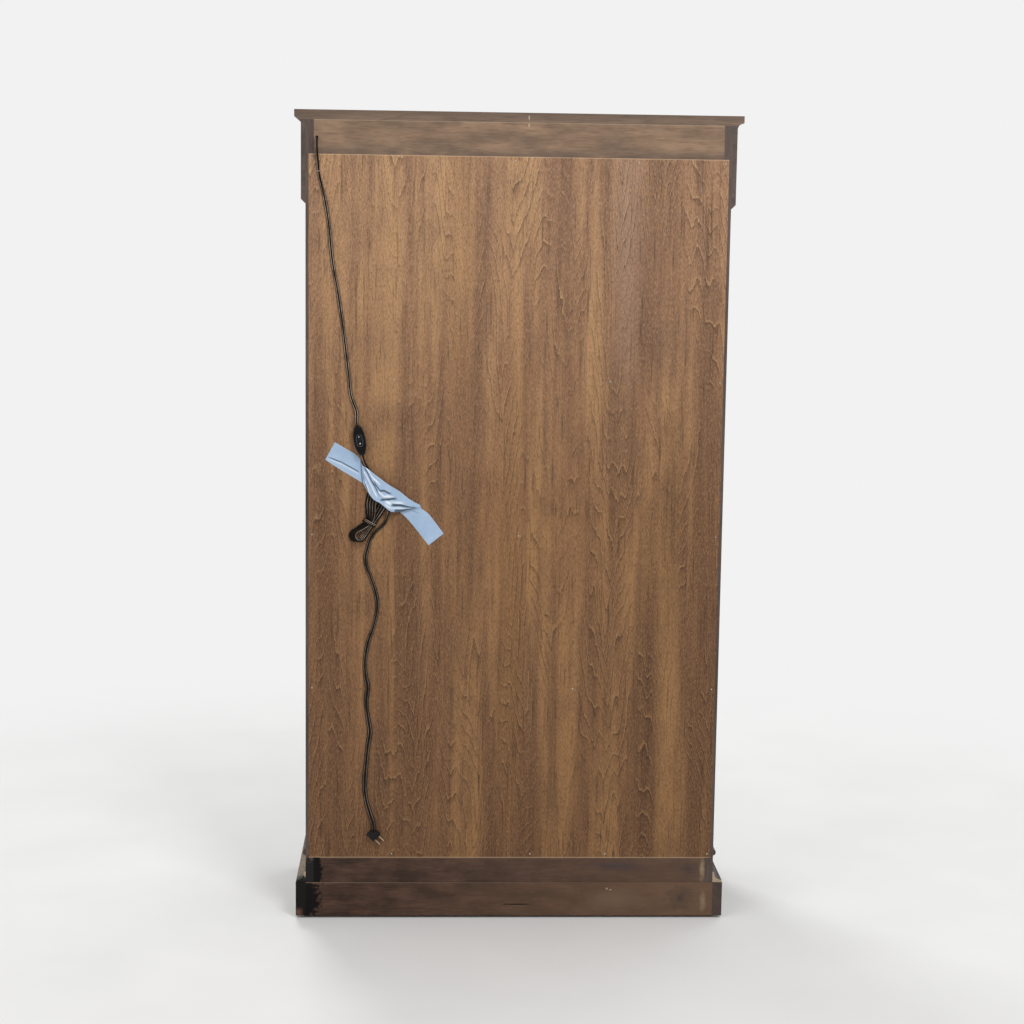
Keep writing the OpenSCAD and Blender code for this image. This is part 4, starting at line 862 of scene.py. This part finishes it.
corners = [(-plug_half, plug_bottom), (plug_half, plug_bottom), (plug_half, plug_top),
           (plug_cut - plug_half, plug_top), (-plug_half, plug_top - plug_cut)]
middle, corner_r = Vector((1, 1.5)), 2.2
rings = []
for y, inset in ((-7, 1.8), (-6.6, 0.8), (-5.8, 0.25), (-4.6, 0), (-0.5, 0), (-0.2, 0.35), (0.2, 0.35),
                 (0.5, 0), (4.6, 0), (5.8, 0.25), (6.6, 0.8), (7, 1.8)):
    ring = []
    for i, corner in enumerate(corners):
        before, after = Vector(corners[i - 1]), Vector(corners[(i + 1) % len(corners)])
        here = Vector(corner)
        near = here - (here - before).normalized() * corner_r
        far = here + (after - here).normalized() * corner_r
        for t in (0, 0.25, 0.5, 0.75, 1):
            bend = near * (1 - t) ** 2 + here * 2 * t * (1 - t) + far * t * t
            bend += (middle - bend).normalized() * inset
            ring.append((bend[0], y, bend[1]))
    rings.append(ring)
verts, faces = loft([on_plug(ring) for ring in rings])
plug = piece("plug_shell", verts, faces, black_plastic)
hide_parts("plug_body")

blade_w, blade_t, blade_l, blade_in, blade_pitch, blade_cut = 6.35, 1.5, 17, 7, 12.7, 1.6
blade_hole_r, blade_hole_up = 1.6, 4.6
blade_outline = [(-blade_w / 2, blade_cut), (blade_cut - blade_w / 2, 0), (blade_w / 2 - blade_cut, 0),
                 (blade_w / 2, blade_cut), (blade_w / 2, blade_l + blade_in),
                 (-blade_w / 2, blade_l + blade_in)]
verts, faces = [], []
for side in (-1, 1):
    x0 = side * blade_pitch / 2
    plate = [[(x0 + x, y * k, plug_bottom - blade_l + z) for y, z in blade_outline]
             for x, k in ((-blade_t / 2, 0.88), (-blade_t / 3, 1), (blade_t / 3, 1), (blade_t / 2, 0.88))]
    more, flat = loft([on_plug(ring) for ring in plate])
    faces += [tuple(i + len(verts) for i in face) for face in flat]
    verts += more
# New brass strip is pale, and brightest where the socket's springs have rubbed it.
blade_brass = mottled("brass_strip_bright", 220.0, 3.0, ("#dccba2", "#f7eedb"), (0.42, 0.24), (0.35, 0.6),
                      Metallic=1)[0]
blades = piece("plug_blade_pair", verts, faces, blade_brass)
blade_hole = [[(x, y, plug_bottom - blade_l + blade_hole_up + z)
               for y, z in oval(blade_hole_r, blade_hole_r, 2, 20)] for x in (-9, 9)]
carve(blades, shape_of("blade_hole", *loft([on_plug(ring) for ring in blade_hole])))
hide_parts("plug_blades")

# Tape
# A torn strip of pale blue crepe-paper tape, 48 mm wide, dull and finely crinkled: flat
# at both ends, crumpled over the hank, and pinched into a turn near its right end.
tape_finish, tree, shader, place = surface("blue_crepe_paper")
crepe = add(tree, "TexNoise", add(tree, "Mapping", place, Rotation=(0, math.radians(35), 0),
                                  Scale=(900, 300, 160)), Scale=1.0, Detail=3.0)
fade = add(tree, "TexNoise", place, Scale=28.0, Detail=3.0)
paper = add(tree, "ValToRGB", fade, stops=[(0.3, "#96aeca"), (0.7, "#a6bcd5")])
# Folds carry painted highlights along their crests and painted shade in their creases.
fold_shading = add(tree, "Attribute", attribute_name="fold_shading").outputs["Fac"]
paper = glazed(tree, paper, (crepe, 0.45, 0.75, 0.5, "#8fa8c4"), (fold_shading, 0, 1, 0.8, "#e6eef6"),
               (fold_shading, 0, -1, 0.95, "#2c3848"))
into(shader, "Base Color", paper)
into(shader, "Roughness", add(tree, "MapRange", crepe, 0.3, 0.7, 0.42, 0.6))
into(shader, "Normal", add(tree, "Bump", Strength=0.5, Distance=0.0003, Height=crepe))

tape_stations = [
    ((442, 0.2, 1102), (420, 0.2, 1143)), ((405, 0.2, 1078), (394, 0.2, 1128)),
    ((378, 0.2, 1062), (372, 0.2, 1115)), ((360, 0.3, 1051), (363, 0.3, 1106)),
    ((352, 7, 1045), (355, 10, 1090)), ((344, 13, 1031), (343, 11, 1083)),
    ((330, 18.4, 1013), (331, 17, 1074)), ((313, 19, 1003), (315, 18.4, 1062)),
    ((290, 18.6, 985), (296, 17, 1048)), ((272, 11, 983), (270, 7, 1031)),
    ((250, 6.5, 986), (246, 4.5, 1012)), ((226, 4, 991), (221, 3, 998))]
# Past the pinch the strip turns under itself and runs on, flat, at a steeper slant.
tape_tail = [((268, 0.6, 981), (219, 0.6, 990)), ((251, 0.3, 965), (211, 0.3, 984)),
             ((233, 0.2, 944), (199, 0.2, 974)), ((201, 0.2, 903), (166, 0.2, 931))]
tape_folds = [
    # station and share of the width along each crease, half-width, height in mm, and tone: painted highlight
    # above 0, painted shade below
    (((0.05, 0.83), (0.9, 0.66), (2.9, 0.62)), 0.035, 0.5, -1.0),
    (((0.05, 0.9), (0.9, 0.75), (2.9, 0.71)), 0.05, 0.4, 0.35),
    (((3.6, 0.5), (4.6, 0.86), (5.4, 1.0)), 0.1, 1.0, -0.6),
    (((4.0, 0.25), (5.4, 0.5), (6.7, 0.84)), 0.09, 2.8, 1.1),
    (((4.2, 0.02), (5.4, 0.3), (6.3, 0.45), (7.0, 0.76)), 0.06, -0.9, -1.3),
    (((4.6, 0.0), (6.0, 0.2), (7.2, 0.26)), 0.06, 1.6, 0.9),
    (((6.0, 0.28), (7.0, 0.5), (7.5, 0.36), (8.4, 0.3)), 0.05, 0.0, -1.1),
    (((6.6, 0.6), (7.4, 0.62), (7.8, 0.5), (8.6, 0.36)), 0.07, 2.4, 0.8),
    (((6.9, 0.9), (7.6, 0.66), (8.2, 0.5), (8.9, 0.4)), 0.055, 0.0, -1.2),
    (((7.4, 0.8), (8.3, 0.68), (9.6, 0.52)), 0.1, 2.4, 0.9),
    (((8.0, 0.72), (9.2, 0.66), (10.9, 0.75)), 0.09, -0.8, -1.4),
    (((7.3, 0.93), (8.6, 0.84), (9.8, 0.82)), 0.06, 1.4, 0.5),
    (((8.4, 0.98), (9.4, 0.96), (10.9, 0.9)), 0.1, -0.3, -1.2),
    (((3.9, 0.7), (4.6, 0.75), (5.6, 0.95)), 0.08, 1.4, 0.6),
    (((13.0, 0.5), (14.0, 0.3)), 0.04, 0.3, -0.5)]
# Where the strip lifts off the panel a painted shadow crosses it as a dark crease; its edges are painted
# pale like the crests.
tape_seam, tape_seam_half, tape_seam_shadow, tape_edge_tone = 3.45, 0.2, -1.3, 0.45
tape_sub, tape_rows, tape_turn, tape_lowest = 20, 48, 8, 0.15
tear_depth, tear_varies, paper_t = 0.5, 0.3, 0.25


def fold_at(k, v):
    """How far the folds raise the tape at a station and a share of its width,
    and their tone: painted highlight above 0, painted shade below."""
    raised, tone = 0, tape_seam_shadow * max(0, 1 - abs(k - tape_seam) / tape_seam_half)
    for line, half, high, shade in tape_folds:
        for (k0, v0), (k1, v1) in zip(line, line[1:]):
            if k0 <= k < k1:
                ridge = max(0, 1 - abs(v - mix(v0, v1, (k - k0) / (k1 - k0))) / half)
                ends = min(1, (k - line[0][0]) / 0.35, (line[-1][0] - k) / 0.5)
                raised += high * ease(ridge) * ends
                tone += 1.8 * shade * ridge * ends
    return raised, max(-1, min(1, tone))


tape_rings = []
for stations in (tape_stations, tape_tail):
    lower_edge = [Vector(low) for low, high in stations]
    upper_edge = [Vector(high) for low, high in stations]
    count = (len(stations) - 1) * tape_sub
    edges = [(curve_at(lower_edge, i / tape_sub), curve_at(upper_edge, i / tape_sub), i / tape_sub)
             for i in range(count + 1)]
    if tape_rings:
        last_low, last_high, last_k = tape_rings[-1]
        first_low, first_high, _ = edges[0]
        tape_rings += [(mix(last_low, first_low, i / tape_turn), mix(last_high, first_high, i / tape_turn),
                        last_k + 1) for i in range(1, tape_turn)]
        edges = [(low, high, last_k + 2 + k) for low, high, k in edges]
    tape_rings += edges
random.seed(7)
verts, tones = [], []
for i, (low, high, k) in enumerate(tape_rings):
    for j in range(tape_rows + 1):
        v = j / tape_rows
        raised, tone = fold_at(k, v)
        tone += tape_edge_tone if j in (0, tape_rows) else 0
        spot = mix(high, low, v)
        spot.y = max(tape_lowest, spot.y + raised)
        if i in (0, len(tape_rings) - 1):
            spot.x += (1 if j % 2 else -1) * tear_depth + random.uniform(-tear_varies, tear_varies)
        verts.append(spot)
        tones.append(tone)
wide = tape_rows + 1
faces = [(i * wide + j, i * wide + j + 1, (i + 1) * wide + j + 1, (i + 1) * wide + j)
         for i in range(len(tape_rings) - 1) for j in range(tape_rows)]
tape = piece("blue_tape_strip", placed(verts), faces, tape_finish)
tape.data.attributes.new("fold_shading", "FLOAT", "POINT").data.foreach_set("value", tones)
paper_skin = tape.modifiers.new("paper", "SOLIDIFY")
paper_skin.thickness, paper_skin.offset = paper_t * MM, 0
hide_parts("tape")

# Lamp leads
# The same flat cord above the ceiling: lamp to lamp, lamp to the white box, and
# from the box up to the hole in the rail.
lead_z, lead_end, lead_slack, lamp_x, lamp_y, can_r = 1802.7, 8, 14, 240, 18.75, 36
box_x0, box_x1, box_y, box_z = 396, 440, 137.75, 1814
leads = [
    ("lamp_lead_between", [(can_r - lamp_x, lamp_y, lead_z), (can_r - lamp_x + lead_end, lamp_y, lead_z),
                           (-lamp_x / 3, lamp_y + lead_slack, lead_z),
                           (lamp_x / 3, lamp_y + lead_slack, lead_z),
                           (lamp_x - can_r - lead_end, lamp_y, lead_z),
                           (lamp_x - can_r, lamp_y, lead_z)], True),
    ("lamp_lead_to_box", [(lamp_x + can_r, lamp_y, lead_z), (lamp_x + can_r + lead_end, lamp_y, lead_z),
                          (box_x0 - 2 * lead_end, box_y, lead_z), (box_x0 - lead_end, box_y, lead_z),
                          (box_x0, box_y, lead_z)], True),
    ("lamp_lead_to_hole", [(box_x1, box_y, box_z), (box_x1 + lead_end, box_y, box_z), (462, 166.75, 1835),
                           (462, 174.75, 1838), (462, 187.75, 1838)], False)]
for name, points, lies_down in leads:
    line = smooth_curve([Vector(p) for p in points], 5)
    wide_of = (lambda run: run.cross(Vector((0, 0, 1))).normalized()) if lies_down else flat_on_back
    lead, lead_path = flat_cord(name, line, wide_of, 0)
    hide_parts("lamp_lead")

# The studio
# A pale floor that runs out of sight, soft lamps over both sides of the cabinet,
# and an even pale surround that shows as the wall, also through glass.
floor_finish, tree, shader, place = surface("pale_painted_floor")
dust = add(tree, "TexNoise", place, Scale=3.0, Detail=5.0)
into(shader, "Base Color", add(tree, "ValToRGB", dust, stops=[(0.3, "#e2e2e1"), (0.7, "#e7e7e6")]))
shader.inputs["Roughness"].default_value = 0.8


def in_sight(tree):
    """1 for what is seen directly or through glass, 0 for the light that falls on things."""
    ray = add(tree, "LightPath").outputs
    return add(tree, "Math", ray["Is Camera Ray"], ray["Is Transmission Ray"], operation="MAXIMUM")


seen = in_sight(tree)
far_off = add(tree, "MapRange", add(tree, "VectorMath", place, operation="LENGTH"), 1.2, 2.8, 0, 1,
              interpolation_type="SMOOTHSTEP")
surround = "#f2f2f2"
glow = add(tree, "Emission", tint(surround), 1.0)
both = add(tree, "MixShader", add(tree, "Math", seen, far_off, operation="MULTIPLY"), shader, glow)
tree.links.new(both.outputs[0], tree.nodes["Material Output"].inputs["Surface"])
reach = 30
floor = shape_of("floor", [(-reach, -reach, 0), (reach, -reach, 0), (reach, reach, 0), (-reach, reach, 0)],
                 [(0, 1, 2, 3)])
floor.data.materials.append(floor_finish)

world = bpy.data.worlds.new("pale_surround")
bpy.context.scene.world = world
world.use_nodes = True
tree = world.node_tree
tree.nodes.clear()
seen = in_sight(tree)
even_light = 0.62
light = add(tree, "Background", tint("#ffffff"), even_light)
wall = add(tree, "Background", tint(surround), 1.0)
both = add(tree, "MixShader", seen, light, wall)
tree.links.new(both.outputs[0], add(tree, "OutputWorld").inputs["Surface"])

for name, spot, size, power in (
        ("key_behind", (-1.1, 2.9, 3.7), 1.2, 66), ("fill_behind", (2.6, 2.8, 2.4), 2.2, 24),
        ("key_front", (1.1, -2.9, 3.7), 1.2, 66), ("fill_front", (-2.6, -2.8, 2.4), 2.2, 24)):
    lamp = bpy.data.objects.new(name, bpy.data.lights.new(name, "AREA"))
    lamp.data.size, lamp.data.energy = size, power
    lamp.location = spot
    lamp.rotation_mode = "QUATERNION"
    lamp.rotation_quaternion = (Vector((0, 0, 1)) - Vector(spot)).to_track_quat("-Z", "Y")
    lamp.visible_camera = False
    bpy.context.scene.collection.objects.link(lamp)
bpy.context.scene.view_settings.view_transform = "Standard"
